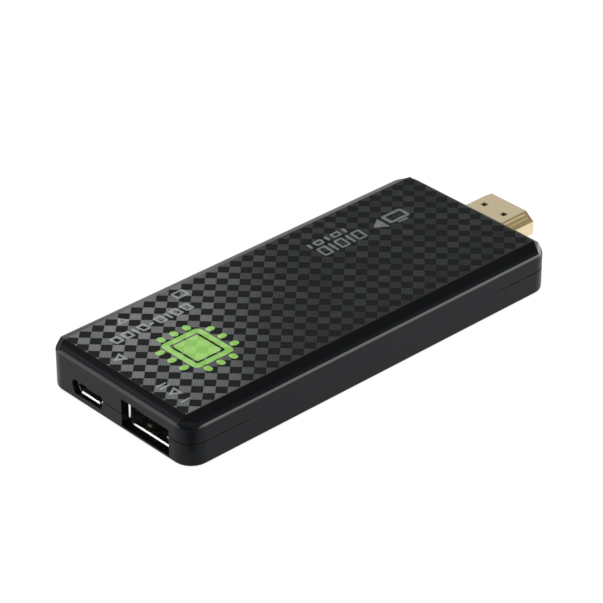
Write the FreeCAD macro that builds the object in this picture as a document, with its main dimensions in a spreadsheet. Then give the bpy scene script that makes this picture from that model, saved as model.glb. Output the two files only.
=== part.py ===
import FreeCAD, Part
import math
import os
import re
import Sketcher

from FreeCAD import Placement, Rotation, Vector

os.makedirs("parts", exist_ok=True)
doc = FreeCAD.newDocument("stick_computer")

# The casing stands on z = 0 with its bottom face centred on the origin.
# +X points to the video plug, -X to the end with two sockets, -Y to the plain long side.

# Turns for a socket that is built facing -X with its base down
UPRIGHT = Rotation()
HUNG_UNDER_BOARD = Rotation(Vector(1, 0, 0), 180)
FACING_FAR_SIDE = Rotation(Vector(0, 0, 1), -90)

# A tapered outline moved in or out by a thickness keeps its slope only if its upright side
# changes by these multiples of that thickness
SHEET_SIDE_SHARE = 1.3
CORE_SIDE_SHARE = 1.5
PORT_SIDE_SHARE = 1.4

# For picking edges: the least share of an upright one that rises, and how near the floor one lies
UPRIGHT_SHARE = 0.5
ON_THE_FLOOR = 1e-6

# Driving sizes in millimetres, each one free to change by itself
SIZES = {
    # Casing
    "case_length": 93.5,
    "case_width": 40.2,
    "corner_radius": 4.0,
    "shell_height": 10.0,
    "label_thickness": 0.2,
    "label_margin": 0.05,
    "side_chamfer_run": 2.85,
    "end_chamfer_run": 2.0,
    "chamfer_drop": 1.25,
    "corner_facet_drop": 2.2,
    "bottom_edge_radius": 0.6,
    "shoulder_radius": 0.45,
    "seam_height": 4.95,
    "port_seam_height": 3.5,
    "seam_slope_run": 2.3,
    "end_wall": 2.0,
    "side_wall": 1.6,
    "floor_thickness": 1.2,
    "roof_thickness": 1.6,
    "rim_height": 0.7,
    "rim_thickness": 0.75,
    "rim_gap": 0.05,
    # Vents and the pinhole in the floor
    "vent_count": 7,
    "vent_length": 12.0,
    "vent_width": 1.2,
    "vent_pitch": 3.0,
    "vent_offset": 12.0,
    "pinhole_radius": 0.6,
    # Board and what carries it
    "board_underside": 4.1,
    "board_thickness": 1.0,
    "board_gap": 0.2,
    "board_corner_radius": 2.0,
    "layout_reach": 44.55,
    "plug_room": 3.2,
    "post_radius": 1.5,
    "post_end_inset": 5.2,
    "post_side_inset": 2.1,
    "middle_post_offset": 4.0,
    "screw_post_radius": 2.0,
    "screw_end_inset": 8.0,
    "screw_side_inset": 2.6,
    "screw_radius": 0.8,
    "screw_length": 3.0,
    "screw_head_radius": 1.7,
    "screw_head_height": 0.8,
    "screw_driver_depth": 0.4,
    "screw_clearance": 0.05,
    "screw_hole_depth": 2.4,
    "screw_play": 0.2,
    "hold_down_radius": 1.2,
    "hold_down_gap": 0.05,
    # Video plug
    "plug_width": 13.9,
    "plug_height": 4.45,
    "plug_side_height": 2.86,
    "plug_narrow_width": 9.6,
    "plug_sheet": 0.3,
    "plug_reach": 10.5,
    "plug_inside": 3.0,
    "plug_offset": 1.35,
    "plug_base_height": 1.62,
    "plug_hole_size": 1.25,
    "plug_hole_spacing": 5.4,
    "plug_hole_distance": 6.2,
    "plug_core_gap": 0.1,
    "plug_slot_height": 1.7,
    "plug_slot_width": 11.8,
    "plug_slot_rim": 0.7,
    "plug_core_recess": 0.8,
    "plug_contact_width": 0.35,
    "plug_contact_thickness": 0.15,
    "plug_contact_pitch": 1.0,
    "plug_contact_recess": 1.6,
    "plug_upper_contact_count": 10,
    "plug_lower_contact_count": 9,
    "plug_tail_length": 2.2,
    # Full-size host socket
    "host_width": 13.0,
    "host_height": 5.7,
    "host_length": 14.0,
    "host_sheet": 0.3,
    "host_side_inset": 10.58,
    "host_centre_height": 3.74,
    "host_recess": 1.9,
    "host_notch_gap": 0.15,
    "tongue_width": 11.1,
    "tongue_thickness": 1.84,
    "tongue_recess": 0.6,
    "host_core_length": 4.7,
    "host_contact_width": 1.0,
    "host_contact_thickness": 0.12,
    "host_contact_inner_pitch": 2.0,
    "host_contact_outer_pitch": 7.0,
    "host_contact_recess": 1.1,
    "host_tail_length": 1.6,
    # Small sockets, one for power and one for data
    "small_width": 7.5,
    "small_narrow_width": 5.6,
    "small_side_height": 1.3,
    "small_height": 2.45,
    "small_sheet": 0.25,
    "small_length": 5.5,
    "small_recess": 0.85,
    "small_core_length": 1.6,
    "small_core_gap": 0.05,
    "small_tongue_width": 3.7,
    "small_tongue_thickness": 0.6,
    "small_tongue_rise": 0.65,
    "small_contact_width": 0.35,
    "small_contact_thickness": 0.1,
    "small_contact_pitch": 0.65,
    "small_contact_count": 5,
    "small_tail_length": 0.6,
    "power_side_inset": 10.07,
    "data_offset": 32.7,
    # Openings in the casing round the sockets and the plug
    "port_gap": 0.1,
    "small_port_margin": 0.725,
    "small_port_drop": 0.2,
    "small_port_lower_height": 2.0,
    "small_port_upper_height": 1.0,
    "small_port_side": 0.1,
    "card_port_width": 12.2,
    "card_port_height": 1.4,
    # Memory card socket
    "card_offset": 18.5,
    "card_recess": 1.8,
    "card_socket_width": 14.0,
    "card_socket_length": 14.6,
    "card_socket_height": 1.7,
    "card_floor": 0.4,
    "card_wall": 0.7,
    "card_sheet": 0.2,
    "card_passage_width": 11.4,
    "card_contact_width": 0.6,
    "card_contact_pitch": 1.1,
    "card_contact_length": 6.0,
    "card_contact_count": 8,
    "card_contact_inset": 1.2,
    "card_contact_thickness": 0.12,
    "slider_travel": 1.2,
    "slider_length": 3.0,
    "slider_gap": 0.05,
    "slider_nose": 0.9,
    "slider_nose_length": 0.6,
    "spring_solid_length": 1.1,
    "spring_wire_radius": 0.05,
    "spring_radius": 0.2,
    "spring_turns": 6,
    # Parts on the board
    "chip_side": 16.0,
    "chip_height": 1.2,
    "chip_offset": 2.0,
    "pad_thickness": 0.8,
    "spreader_length": 40.0,
    "spreader_width": 24.0,
    "spreader_thickness": 1.1,
    "spreader_offset": 9.0,
    "memory_length": 13.0,
    "memory_width": 9.0,
    "memory_height": 1.0,
    "memory_offset": 20.5,
    "memory_spacing": 12.0,
    "flash_length": 11.5,
    "flash_width": 13.0,
    "flash_height": 1.0,
    "flash_offset_x": 20.0,
    "flash_offset_y": 7.0,
    "manager_side": 6.0,
    "manager_height": 0.85,
    "manager_offset_x": 21.0,
    "manager_offset_y": 6.0,
    "inductor_side": 4.0,
    "inductor_height": 1.9,
    "inductor_pitch": 5.2,
    "inductor_count": 3,
    "inductor_offset_x": 26.0,
    "inductor_offset_y": 12.5,
    "radio_side": 12.0,
    "radio_board_thickness": 0.8,
    "radio_shield_height": 1.2,
    "radio_shield_sheet": 0.15,
    "radio_shield_inset": 0.5,
    "radio_offset_x": 35.0,
    "radio_offset_y": 7.5,
    "antenna_length": 5.0,
    "antenna_width": 1.8,
    "antenna_height": 1.0,
    "antenna_inset": 0.6,
    "crystal_length": 3.2,
    "crystal_width": 2.5,
    "crystal_height": 0.8,
    "crystal_offset": 10.2,
    "crystal_spacing": 8.0,
    "led_length": 1.6,
    "led_width": 0.8,
    "led_height": 0.6,
    "led_offset_x": 33.0,
    "led_side_inset": 1.9,
    "small_part_length": 1.0,
    "small_part_width": 0.5,
    "capacitor_height": 0.5,
    "resistor_height": 0.35,
    "small_part_pitch": 2.0,
    "capacitor_row_count": 9,
    "resistor_row_count": 12,
    "capacitor_row_gap": 1.2,
    "resistor_row_inset": 5.2,
    "resistor_row_shift": 5.0,
    # Recovery switch
    "switch_length": 4.0,
    "switch_width": 3.0,
    "switch_height": 1.4,
    "switch_cover": 0.15,
    "switch_offset_x": 8.0,
    "switch_side_inset": 4.5,
    "plunger_radius": 0.7,
    "plunger_gap": 0.05,
    "plunger_out": 0.5,
    "plunger_in": 0.65,
    "plunger_travel": 0.25,
    "dome_solid_height": 0.05,
    "dome_sheet": 0.06,
    "dome_top_radius": 0.35,
}

# Heights, edges and centres that follow from the driving sizes
DERIVED = {
    "case_end": "case_length / 2",
    "case_side": "case_width / 2",
    "inner_end": "case_end - end_wall",
    "inner_side": "case_side - side_wall",
    "inner_radius": "corner_radius - side_wall",
    "ceiling": "shell_height - roof_thickness",
    "rim_top": "seam_height + rim_height",
    "rim_inset": "end_wall - rim_thickness",
    "rim_side_inset": "side_wall - rim_thickness",
    "board_top": "board_underside + board_thickness",
    "board_side": "inner_side - board_gap",
    "board_socket_end": "board_gap - inner_end",
    "board_plug_end": "inner_end - plug_room",
    "layout": "board_socket_end + layout_reach",
    "host_offset": "inner_side - host_side_inset",
    "power_offset": "inner_side - power_side_inset",
    "data_x": "layout - data_offset",
    "card_x": "layout - card_offset",
    "led_y": "inner_side - led_side_inset",
    "switch_x": "layout + switch_offset_x",
    "switch_y": "switch_side_inset - inner_side",
    "post_x": "inner_end - post_end_inset",
    "post_y": "inner_side - post_side_inset",
    "screw_x": "inner_end - screw_end_inset",
    "screw_y": "inner_side - screw_side_inset",
    "screw_driver_floor": "board_top + screw_head_height - screw_driver_depth",
    "plug_length": "plug_reach + end_wall + plug_inside",
    "plug_start": "inner_end - plug_inside",
    "host_mouth": "host_recess - case_end",
    "host_back": "host_mouth + host_length",
    "host_rise": "board_top - host_centre_height",
    "small_port_width": "small_width + 2 * small_port_margin",
    "small_port_end_width": "small_width + 2 * port_gap",
    "small_port_middle": "board_underside - small_height - small_port_drop + small_port_lower_height",
    "card_mouth": "case_side - card_recess",
    "card_passage_top": "card_socket_height - card_sheet",
    "slider_rest": "card_socket_length - card_wall - slider_travel - slider_length - spring_solid_length",
    "channel_width": "(card_socket_width - card_passage_width) / 2 - card_wall",
    "pad_top": "board_top + chip_height + pad_thickness",
    "plunger_low": "board_underside - switch_height - plunger_out",
    "plunger_high": "board_underside - switch_height + plunger_in",
    "switch_low": "board_underside - switch_height",
    "dome_height": "plunger_travel + dome_solid_height",
    "switch_bore_top": "plunger_high + dome_height",
}

sheet = doc.addObject("Spreadsheet::Sheet", "Sizes")
for row, (alias, value) in enumerate(SIZES.items(), start=1):
    sheet.set(f"A{row}", alias)
    sheet.set(f"B{row}", str(value))
    sheet.setAlias(f"B{row}", alias)
doc.recompute()


def formula(text):
    """Spell out a formula: derived names by their own formulas, sizes by their cells."""

    def spell(match):
        word = match.group(0)
        if word in DERIVED:
            return "(" + formula(DERIVED[word]) + ")"
        if word in SIZES:
            return "Sizes." + word
        return word

    return re.sub(r"[A-Za-z_][A-Za-z_0-9]*", spell, text)


def bind(item, **formulas):
    """Tie properties to the sheet; a double underscore stands for a dot."""
    for name, text in formulas.items():
        item.setExpression(name.replace("__", "."), formula(text))


def move(item, x="0", y="0", z="0", rotation=None):
    """Place an object at formulas, turned first if a rotation is given."""
    if rotation is not None:
        item.Placement = Placement(Vector(), rotation)
    bind(item, Placement__Base__x=x, Placement__Base__y=y, Placement__Base__z=z)
    return item


def box(name, x, y, z):
    """A block between two formulas on each axis."""
    item = doc.addObject("Part::Box", name)
    bind(item, Length=f"({x[1]}) - ({x[0]})", Width=f"({y[1]}) - ({y[0]})", Height=f"({z[1]}) - ({z[0]})")
    return move(item, x[0], y[0], z[0])


def centred_box(name, x, y, length, width, z):
    """A block round a centre, between two heights."""
    return box(
        name,
        (f"{x} - ({length}) / 2", f"{x} + ({length}) / 2"),
        (f"{y} - ({width}) / 2", f"{y} + ({width}) / 2"),
        z,
    )


def cylinder(name, x, y, radius, z):
    """An upright cylinder between two heights."""
    item = doc.addObject("Part::Cylinder", name)
    bind(item, Radius=radius, Height=f"({z[1]}) - ({z[0]})")
    return move(item, x, y, z[0])


def fuse(name, items):
    """Several overlapping solids joined into one."""
    item = doc.addObject("Part::MultiFuse", name)
    item.Shapes = items
    item.Refine = True
    return item


def cut(name, base, tools):
    """A solid with one or more others taken away."""
    item = doc.addObject("Part::Cut", name)
    item.Base = base
    item.Tool = tools[0] if len(tools) == 1 else fuse(name + "_tools", tools)
    item.Refine = True
    return item


def common(name, first, second):
    """What two solids share."""
    item = doc.addObject("Part::MultiCommon", name)
    item.Shapes = [first, second]
    item.Refine = True
    return item


def group(name, items):
    """Several separate solids that share one node."""
    item = doc.addObject("Part::Compound", name)
    item.Links = items
    return item


def new_body(name):
    """An empty body for a sketch and its pad."""
    return doc.addObject("PartDesign::Body", name)


def new_sketch(body, name, role, x="0", y="0", z="0"):
    """A sketch on one of its body's own origin planes, moved to formulas."""
    sketch = body.newObject("Sketcher::SketchObject", name)
    plane = next(item for item in body.Origin.OriginFeatures if item.Role == role)
    sketch.AttachmentSupport = [(plane, "")]
    sketch.MapMode = "FlatFace"
    bind(sketch, AttachmentOffset__Base__x=x, AttachmentOffset__Base__y=y, AttachmentOffset__Base__z=z)
    return sketch


def dimension(sketch, constraint, text):
    """Add a length constraint and tie it to a formula."""
    index = sketch.addConstraint(constraint)
    sketch.setExpression(f"Constraints[{index}]", formula(text))


def draw_rounded_rectangle(sketch, length, width, radius, start=(20.0, 10.0, 1.0)):
    """A rectangle with round corners, centred on the sketch's origin."""
    half_x, half_y, round_off = start[0] / 2, start[1] / 2, start[2]
    in_x, in_y = half_x - round_off, half_y - round_off
    corners = ((in_x, in_y, 0), (-in_x, in_y, 90), (-in_x, -in_y, 180), (in_x, -in_y, 270))
    for x, y, turn in corners:
        circle = Part.Circle(Vector(x, y, 0), Vector(0, 0, 1), round_off)
        sketch.addGeometry(Part.ArcOfCircle(circle, math.radians(turn), math.radians(turn + 90)), False)
    for start_point, end_point in (
        ((in_x, half_y), (-in_x, half_y)),
        ((-half_x, in_y), (-half_x, -in_y)),
        ((-in_x, -half_y), (in_x, -half_y)),
        ((half_x, -in_y), (half_x, in_y)),
    ):
        sketch.addGeometry(Part.LineSegment(Vector(*start_point, 0), Vector(*end_point, 0)), False)
    for arc in range(4):
        sketch.addConstraint(Sketcher.Constraint("Tangent", arc, 2, arc + 4, 1))
        sketch.addConstraint(Sketcher.Constraint("Tangent", arc + 4, 2, (arc + 1) % 4, 1))
    for arc in (1, 2, 3):
        sketch.addConstraint(Sketcher.Constraint("Equal", 0, arc))
    for line, direction in ((4, "Horizontal"), (5, "Vertical"), (6, "Horizontal"), (7, "Vertical")):
        sketch.addConstraint(Sketcher.Constraint(direction, line))
    sketch.addConstraint(Sketcher.Constraint("Symmetric", 0, 3, 2, 3, -1, 1))
    dimension(sketch, Sketcher.Constraint("Radius", 0, round_off), radius)
    dimension(sketch, Sketcher.Constraint("DistanceX", 5, 1, 7, 1, start[0]), length)
    dimension(sketch, Sketcher.Constraint("DistanceY", 6, 1, 4, 1, start[1]), width)


def draw_tapered_outline(sketch, width, side, height, narrow, start=(14.0, 3.0, 4.5, 9.0)):
    """A flat-bottomed outline whose sides rise and then slope in to a narrow top."""
    half, low, high, half_top = start[0] / 2, start[1], start[2], start[3] / 2
    points = ((-half, 0), (half, 0), (half, low), (half_top, high), (-half_top, high), (-half, low))
    for index, point in enumerate(points):
        following = points[(index + 1) % 6]
        sketch.addGeometry(Part.LineSegment(Vector(*point, 0), Vector(*following, 0)), False)
    for line in range(6):
        sketch.addConstraint(Sketcher.Constraint("Coincident", line, 2, (line + 1) % 6, 1))
    sketch.addConstraint(Sketcher.Constraint("Symmetric", 0, 1, 0, 2, -2))
    sketch.addConstraint(Sketcher.Constraint("Symmetric", 3, 2, 3, 1, -2))
    sketch.addConstraint(Sketcher.Constraint("Symmetric", 5, 1, 2, 1, -2))
    sketch.addConstraint(Sketcher.Constraint("Vertical", 1))
    sketch.addConstraint(Sketcher.Constraint("PointOnObject", 0, 1, -1))
    dimension(sketch, Sketcher.Constraint("DistanceX", 0, 1, 0, 2, start[0]), width)
    dimension(sketch, Sketcher.Constraint("DistanceY", 1, 1, 1, 2, low), side)
    dimension(sketch, Sketcher.Constraint("DistanceY", 1, 1, 2, 2, high), height)
    dimension(sketch, Sketcher.Constraint("DistanceX", 3, 2, 3, 1, start[3]), narrow)


def pad(body, name, sketch, length):
    """The body's sketch raised by a length."""
    feature = body.newObject("PartDesign::Pad", name)
    feature.Profile = sketch
    bind(feature, Length=length)
    return feature


def body_box(body, kind, name, x, y, z):
    """Add or take away a block inside a body; kind is Additive or Subtractive."""
    item = body.newObject(f"PartDesign::{kind}Box", name)
    bind(item, Length=f"({x[1]}) - ({x[0]})", Width=f"({y[1]}) - ({y[0]})", Height=f"({z[1]}) - ({z[0]})")
    return move(item, x[0], y[0], z[0])


def body_cylinder(body, kind, name, x, y, radius, z):
    """Add or take away an upright cylinder inside a body."""
    item = body.newObject(f"PartDesign::{kind}Cylinder", name)
    bind(item, Radius=radius, Height=f"({z[1]}) - ({z[0]})")
    return move(item, x, y, z[0])


nodes = []


def keep(label, item):
    """Name a finished sub-part; its label is its node and its file."""
    item.Label = label
    nodes.append(item)
    return item


def rounded_block(name, length, width, radius, z):
    """A block with round upright edges, centred on the origin, between two heights."""
    body = new_body(name)
    sketch = new_sketch(body, name + "_outline", "XY_Plane", z=z[0])
    draw_rounded_rectangle(sketch, length, width, radius, (60.0, 30.0, 3.0))
    pad(body, name + "_pad", sketch, f"({z[1]}) - ({z[0]})")
    return body


def tapered_block(name, width, side, height, narrow, length, x="0", y="0", z="0", rotation=None):
    """A bar along +X with the tapered outline, its flat base at the lower face."""
    body = new_body(name)
    sketch = new_sketch(body, name + "_outline", "YZ_Plane")
    draw_tapered_outline(sketch, width, side, height, narrow)
    pad(body, name + "_pad", sketch, length)
    return move(body, x, y, z, rotation)


def casing_outline():
    """The outer form shared by both shells: a round-cornered block, chamfered and faceted on top."""
    end, side = sheet.case_length / 2, sheet.case_width / 2
    block = Part.makeBox(2 * end, 2 * side, sheet.shell_height, Vector(-end, -side, 0))
    upright = [edge for edge in block.Edges if abs(edge.tangentAt(edge.FirstParameter).z) > UPRIGHT_SHARE]
    block = block.makeFillet(sheet.corner_radius, upright)
    foot = [edge for edge in block.Edges if all(abs(point.Z) < ON_THE_FLOOR for point in edge.Vertexes)]
    block = block.makeFillet(sheet.bottom_edge_radius, foot)
    inset = sheet.corner_radius * (1 - math.sqrt(0.5))
    facet_run = (sheet.end_chamfer_run + sheet.side_chamfer_run - 2 * inset) / math.sqrt(2)
    diagonal = sheet.corner_facet_drop / math.sqrt(2)
    rim_x, rim_y = end - sheet.end_chamfer_run, side - sheet.side_chamfer_run
    slopes = []
    for sign in (-1, 1):
        slopes.append(((sign * rim_x, 0), (sign * sheet.chamfer_drop, 0, sheet.end_chamfer_run)))
        slopes.append(((0, sign * rim_y), (0, sign * sheet.chamfer_drop, sheet.side_chamfer_run)))
        for other in (-1, 1):
            slopes.append(((sign * rim_x, other * rim_y), (sign * diagonal, other * diagonal, facet_run)))
    reach = 2 * sheet.case_length
    for (x, y), normal in slopes:
        waste = Part.makeBox(reach, reach, reach, Vector(-reach / 2, -reach / 2, 0))
        turn = Rotation(Vector(0, 0, 1), Vector(*normal))
        waste.Placement = Placement(Vector(x, y, sheet.shell_height), turn).multiply(waste.Placement)
        block = block.cut(waste)
    block = block.removeSplitter()
    shoulders = [
        edge
        for edge in block.Edges
        if all(sheet.seam_height < point.Z < sheet.shell_height - ON_THE_FLOOR for point in edge.Vertexes)
    ]
    block = block.makeFillet(sheet.shoulder_radius, shoulders)
    item = doc.addObject("Part::Feature", "casing_outline")
    item.Shape = block
    return item


def upper_zone():
    """Everything above the seam, which dips between the two sockets in the end wall."""
    above = centred_box(
        "above_seam", "0", "0", "2 * case_length", "2 * case_width", ("seam_height", "2 * shell_height")
    )
    near = "-(host_offset + host_width / 2 + port_gap)"
    far = "power_offset + small_port_width / 2"
    dip = box(
        "seam_dip", ("-case_length", "-inner_end"), (near, far), ("port_seam_height", "2 * seam_height")
    )
    slope = doc.addObject("Part::Wedge", "seam_slope")
    bind(slope, Xmin="0", Xmax="case_length - inner_end", X2min="0", X2max="case_length - inner_end")
    bind(slope, Ymin="0", Ymax="seam_slope_run")
    bind(slope, Zmin="0", Zmax="seam_height", Z2min="seam_height - port_seam_height", Z2max="seam_height")
    move(slope, "-case_length", far, "port_seam_height")
    return fuse("upper_zone", [above, dip, slope])


def host_port():
    """The end wall's opening for the full-size socket and the room for its sheet behind it."""
    half_width = "(host_width / 2 + port_gap)"
    half_height = "(host_height / 2 + port_gap)"
    return box(
        "host_port",
        ("-case_length", "host_back + host_notch_gap"),
        (f"-host_offset - {half_width}", f"-host_offset + {half_width}"),
        (f"host_centre_height - {half_height}", f"host_centre_height + {half_height}"),
    )


def small_port(name, wall, x, y, turn):
    """A wall opening for a small socket, widest near its top and cut in towards both ends."""
    place = (x, y, "small_port_middle")
    upper = tapered_block(
        name + "_upper",
        "small_port_width",
        "small_port_side",
        "small_port_upper_height",
        "small_port_end_width",
        f"2 * {wall}",
        *place,
        turn,
    )
    lower = tapered_block(
        name + "_lower",
        "small_port_width",
        "small_port_side",
        "small_port_lower_height",
        "small_port_end_width",
        f"2 * {wall}",
        *place,
        turn.multiply(HUNG_UNDER_BOARD),
    )
    return fuse(name, [upper, lower])


def card_port():
    """The slot in the far long wall for the memory card."""
    middle = "(board_underside - (card_floor + card_passage_top) / 2)"
    return box(
        "card_port",
        ("card_x - card_port_width / 2", "card_x + card_port_width / 2"),
        ("inner_side - side_wall / 2", "case_side + side_wall"),
        (f"{middle} - card_port_height / 2", f"{middle} + card_port_height / 2"),
    )


def plug_port():
    """The end wall's opening round the video plug."""
    return tapered_block(
        "plug_port",
        "plug_width + 2 * port_gap",
        f"plug_side_height + {PORT_SIDE_SHARE} * port_gap",
        "plug_height + 2 * port_gap",
        f"plug_narrow_width + {PORT_SIDE_SHARE} * port_gap",
        "3 * end_wall",
        "inner_end - end_wall",
        "plug_offset",
        "plug_base_height - port_gap",
    )


def wall_openings():
    """All openings through the walls, shared by the two shells."""
    return [
        host_port(),
        small_port("power_port", "end_wall", "-case_end - end_wall / 2", "power_offset", UPRIGHT),
        small_port("data_port", "side_wall", "data_x", "case_side + side_wall / 2", FACING_FAR_SIDE),
        card_port(),
        plug_port(),
    ]


def case_shells():
    """The two halves of the casing with their seam, rim, posts and openings."""
    outline = casing_outline()
    upper = upper_zone()
    cavity = rounded_block(
        "cavity", "2 * inner_end", "2 * inner_side", "inner_radius", ("floor_thickness", "ceiling")
    )
    openings = wall_openings()
    keep("bottom_shell", bottom_shell(cut("lower_half", outline, [upper]), cavity, openings))
    keep("top_shell", top_shell(common("upper_half", outline, upper), cavity, openings))


def shell_rim():
    """The rim that stands up inside the top shell's wall, left out beside the sockets."""
    ring = rounded_block(
        "rim_block",
        "case_length - 2 * rim_inset",
        "case_width - 2 * rim_side_inset",
        "corner_radius - rim_side_inset",
        ("seam_height", "rim_top"),
    )
    near = "-(host_offset + host_width / 2 + 2 * port_gap)"
    far = "power_offset + small_port_width / 2 + seam_slope_run + port_gap"
    gap = box("rim_break", ("-case_length", "-inner_end"), (near, far), ("seam_height", "2 * rim_top"))
    return cut("rim", ring, [gap])


def bottom_shell(half, cavity, openings):
    """The lower half with its rim, board posts, screw holes, vents and pinhole."""
    solid = cut("bottom_hollow", fuse("bottom_with_rim", [half, shell_rim()]), [cavity] + openings)
    posts = []
    for end in ("-1", "1"):
        x, sides = ("-post_x", ("-post_y", "post_y")) if end == "-1" else (
            "screw_x", ("-screw_y", "screw_y")
        )
        radius = "post_radius" if end == "-1" else "screw_post_radius"
        for y in sides:
            posts.append(cylinder("post", x, y, radius, ("floor_thickness / 2", "board_underside")))
    for y in ("-post_y", "post_y"):
        posts.append(
            cylinder(
                "post",
                "layout - middle_post_offset",
                y,
                "post_radius",
                ("floor_thickness / 2", "board_underside"),
            )
        )
    holes = [
        cylinder(
            "screw_hole",
            "screw_x",
            y,
            "screw_radius + screw_clearance",
            ("board_underside - screw_hole_depth", "board_top"),
        )
        for y in ("-screw_y", "screw_y")
    ]
    holes += vents()
    holes.append(
        cylinder(
            "pinhole",
            "switch_x",
            "switch_y",
            "pinhole_radius",
            ("-floor_thickness", "2 * floor_thickness"),
        )
    )
    return cut("bottom_finished", fuse("bottom_with_posts", [solid] + posts), holes)


def vents():
    """A row of slots across the floor under the processor."""
    slots = []
    for index in range(int(sheet.vent_count)):
        x = f"(layout + vent_offset + ({index} - (vent_count - 1) / 2) * vent_pitch)"
        slots.append(
            centred_box(
                "vent", x, "0", "vent_width", "vent_length", ("-floor_thickness", "2 * floor_thickness")
            )
        )
    return slots


def top_shell(half, cavity, openings):
    """The upper half with the rebate for the rim and the stops that hold the board down."""
    rebate = rounded_block(
        "rebate",
        "case_length - 2 * (rim_inset - rim_gap)",
        "case_width - 2 * (rim_side_inset - rim_gap)",
        "corner_radius - rim_side_inset + rim_gap",
        ("seam_height - rim_gap", "rim_top + rim_gap"),
    )
    near = "-(host_offset + host_width / 2 + port_gap)"
    far = "power_offset + small_port_width / 2 + seam_slope_run"
    gap = box("rebate_break", ("-case_length", "-inner_end"), (near, far), ("0", "2 * rim_top"))
    hollow = cut("top_hollow", half, [cavity, cut("rebate_ring", rebate, [gap])] + openings)
    stops = []
    for x in ("-post_x", "layout - middle_post_offset"):
        for y in ("-post_y", "post_y"):
            stops.append(
                cylinder(
                    "hold_down",
                    x,
                    y,
                    "hold_down_radius",
                    ("board_top + hold_down_gap", "ceiling + roof_thickness / 2"),
                )
            )
    return fuse("top_finished", [hollow] + stops)


def top_label():
    """The printed sheet stuck on the flat top."""
    length = "case_length - 2 * (end_chamfer_run + label_margin)"
    width = "case_width - 2 * (side_chamfer_run + label_margin)"
    keep(
        "top_label",
        centred_box(
            "label_sheet", "0", "0", length, width, ("shell_height", "shell_height + label_thickness")
        ),
    )


def main_board():
    """The circuit board with a notch round the full-size socket and two screw holes."""
    body = new_body("board")
    sketch = new_sketch(
        body, "board_outline", "XY_Plane", "(board_socket_end + board_plug_end) / 2", "0", "board_underside"
    )
    draw_rounded_rectangle(
        sketch,
        "board_plug_end - board_socket_end",
        "2 * board_side",
        "board_corner_radius",
        (80.0, 36.0, 2.0),
    )
    pad(body, "board_pad", sketch, "board_thickness")
    half = "(host_width / 2 + host_notch_gap)"
    body_box(
        body,
        "Subtractive",
        "socket_notch",
        ("board_socket_end - end_wall", "host_back + host_notch_gap"),
        (f"-host_offset - {half}", f"-host_offset + {half}"),
        ("board_underside - board_thickness", "board_top + board_thickness"),
    )
    for y in ("-screw_y", "screw_y"):
        body_cylinder(
            body,
            "Subtractive",
            "screw_way",
            "screw_x",
            y,
            "screw_radius + screw_play",
            ("board_underside - board_thickness", "board_top + board_thickness"),
        )
    keep("main_board", body)


def board_screws():
    """The screws that hold the board at the plug end, with a round recess for the driver."""
    screws = []
    for y in ("-screw_y", "screw_y"):
        shank = cylinder(
            "shank",
            "screw_x",
            y,
            "screw_radius",
            ("board_top - screw_length", "screw_driver_floor"),
        )
        head = cylinder(
            "head", "screw_x", y, "screw_head_radius", ("board_top", "board_top + screw_head_height")
        )
        driver = cylinder(
            "driver_recess", "screw_x", y, "screw_radius", (
                "screw_driver_floor", "board_top + 2 * screw_head_height"
            )
        )
        screws.append(cut("screw", fuse("screw_blank", [shank, head]), [driver]))
    keep("board_screws", group("screw_set", screws))


def video_plug():
    """The plug's gilt sheet, its moulded core and two rows of contacts."""
    shell = tapered_block(
        "plug_outer", "plug_width", "plug_side_height", "plug_height", "plug_narrow_width", "plug_length"
    )
    bore = tapered_block(
        "plug_bore",
        "plug_width - 2 * plug_sheet",
        f"plug_side_height - {SHEET_SIDE_SHARE} * plug_sheet",
        "plug_height - 2 * plug_sheet",
        "plug_narrow_width - plug_sheet",
        "3 * plug_length",
        "-plug_length",
        "0",
        "plug_sheet",
    )
    far = "(plug_length - plug_reach + plug_hole_distance)"
    holes = []
    for y in ("-plug_hole_spacing / 2", "plug_hole_spacing / 2"):
        holes.append(
            centred_box(
                "latch_hole",
                far,
                y,
                "plug_hole_size",
                "plug_hole_size",
                ("-plug_sheet", "plug_sheet * 1.5"),
            )
        )
        holes.append(
            centred_box(
                "latch_hole",
                far,
                y,
                "plug_hole_size",
                "plug_hole_size",
                ("plug_height - 1.5 * plug_sheet", "2 * plug_height"),
            )
        )
    place = {"x": "plug_start", "y": "plug_offset", "z": "plug_base_height"}
    keep("video_plug_shell", move(cut("plug_shell", shell, [bore] + holes), **place))
    contacts = plug_contacts()
    keep("video_plug_insulator", move(plug_core(contacts), **place))
    keep("video_plug_contacts", move(group("plug_contact_set", contacts), **place))


def plug_levels():
    """Heights inside the plug: the lower and upper faces of the slot for the mating tongue."""
    low = "((plug_height - plug_slot_height) / 2 - plug_sheet / 2)"
    return low, f"({low} + plug_slot_height)"


def plug_contacts():
    """One row of contacts above the slot and one below it, with tails on both faces of the board."""
    low, high = plug_levels()
    rest = "(plug_length - plug_contact_recess)"
    half = "plug_contact_width / 2"
    thick = "plug_contact_thickness"
    contacts = []
    for row, strip, tail in (
        (
            "plug_upper_contact_count",
            (f"{high} - {thick}", high),
            ("board_top - plug_base_height", f"board_top - plug_base_height + {thick}"),
        ),
        (
            "plug_lower_contact_count",
            (low, f"{low} + {thick}"),
            (f"board_underside - plug_base_height - {thick}", "board_underside - plug_base_height"),
        ),
    ):
        for index in range(int(getattr(sheet, row))):
            middle = f"(({index} - ({row} - 1) / 2) * plug_contact_pitch)"
            y = (f"{middle} - {half}", f"{middle} + {half}")
            finger = box("finger", (f"-{thick}", rest), y, strip)
            riser = box("riser", (f"-{thick}", "0"), y, (strip[0], tail[1]))
            foot = box("foot", ("-plug_tail_length", "0"), y, tail)
            contacts.append(fuse("plug_contact", [finger, riser, foot]))
    return contacts


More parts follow.
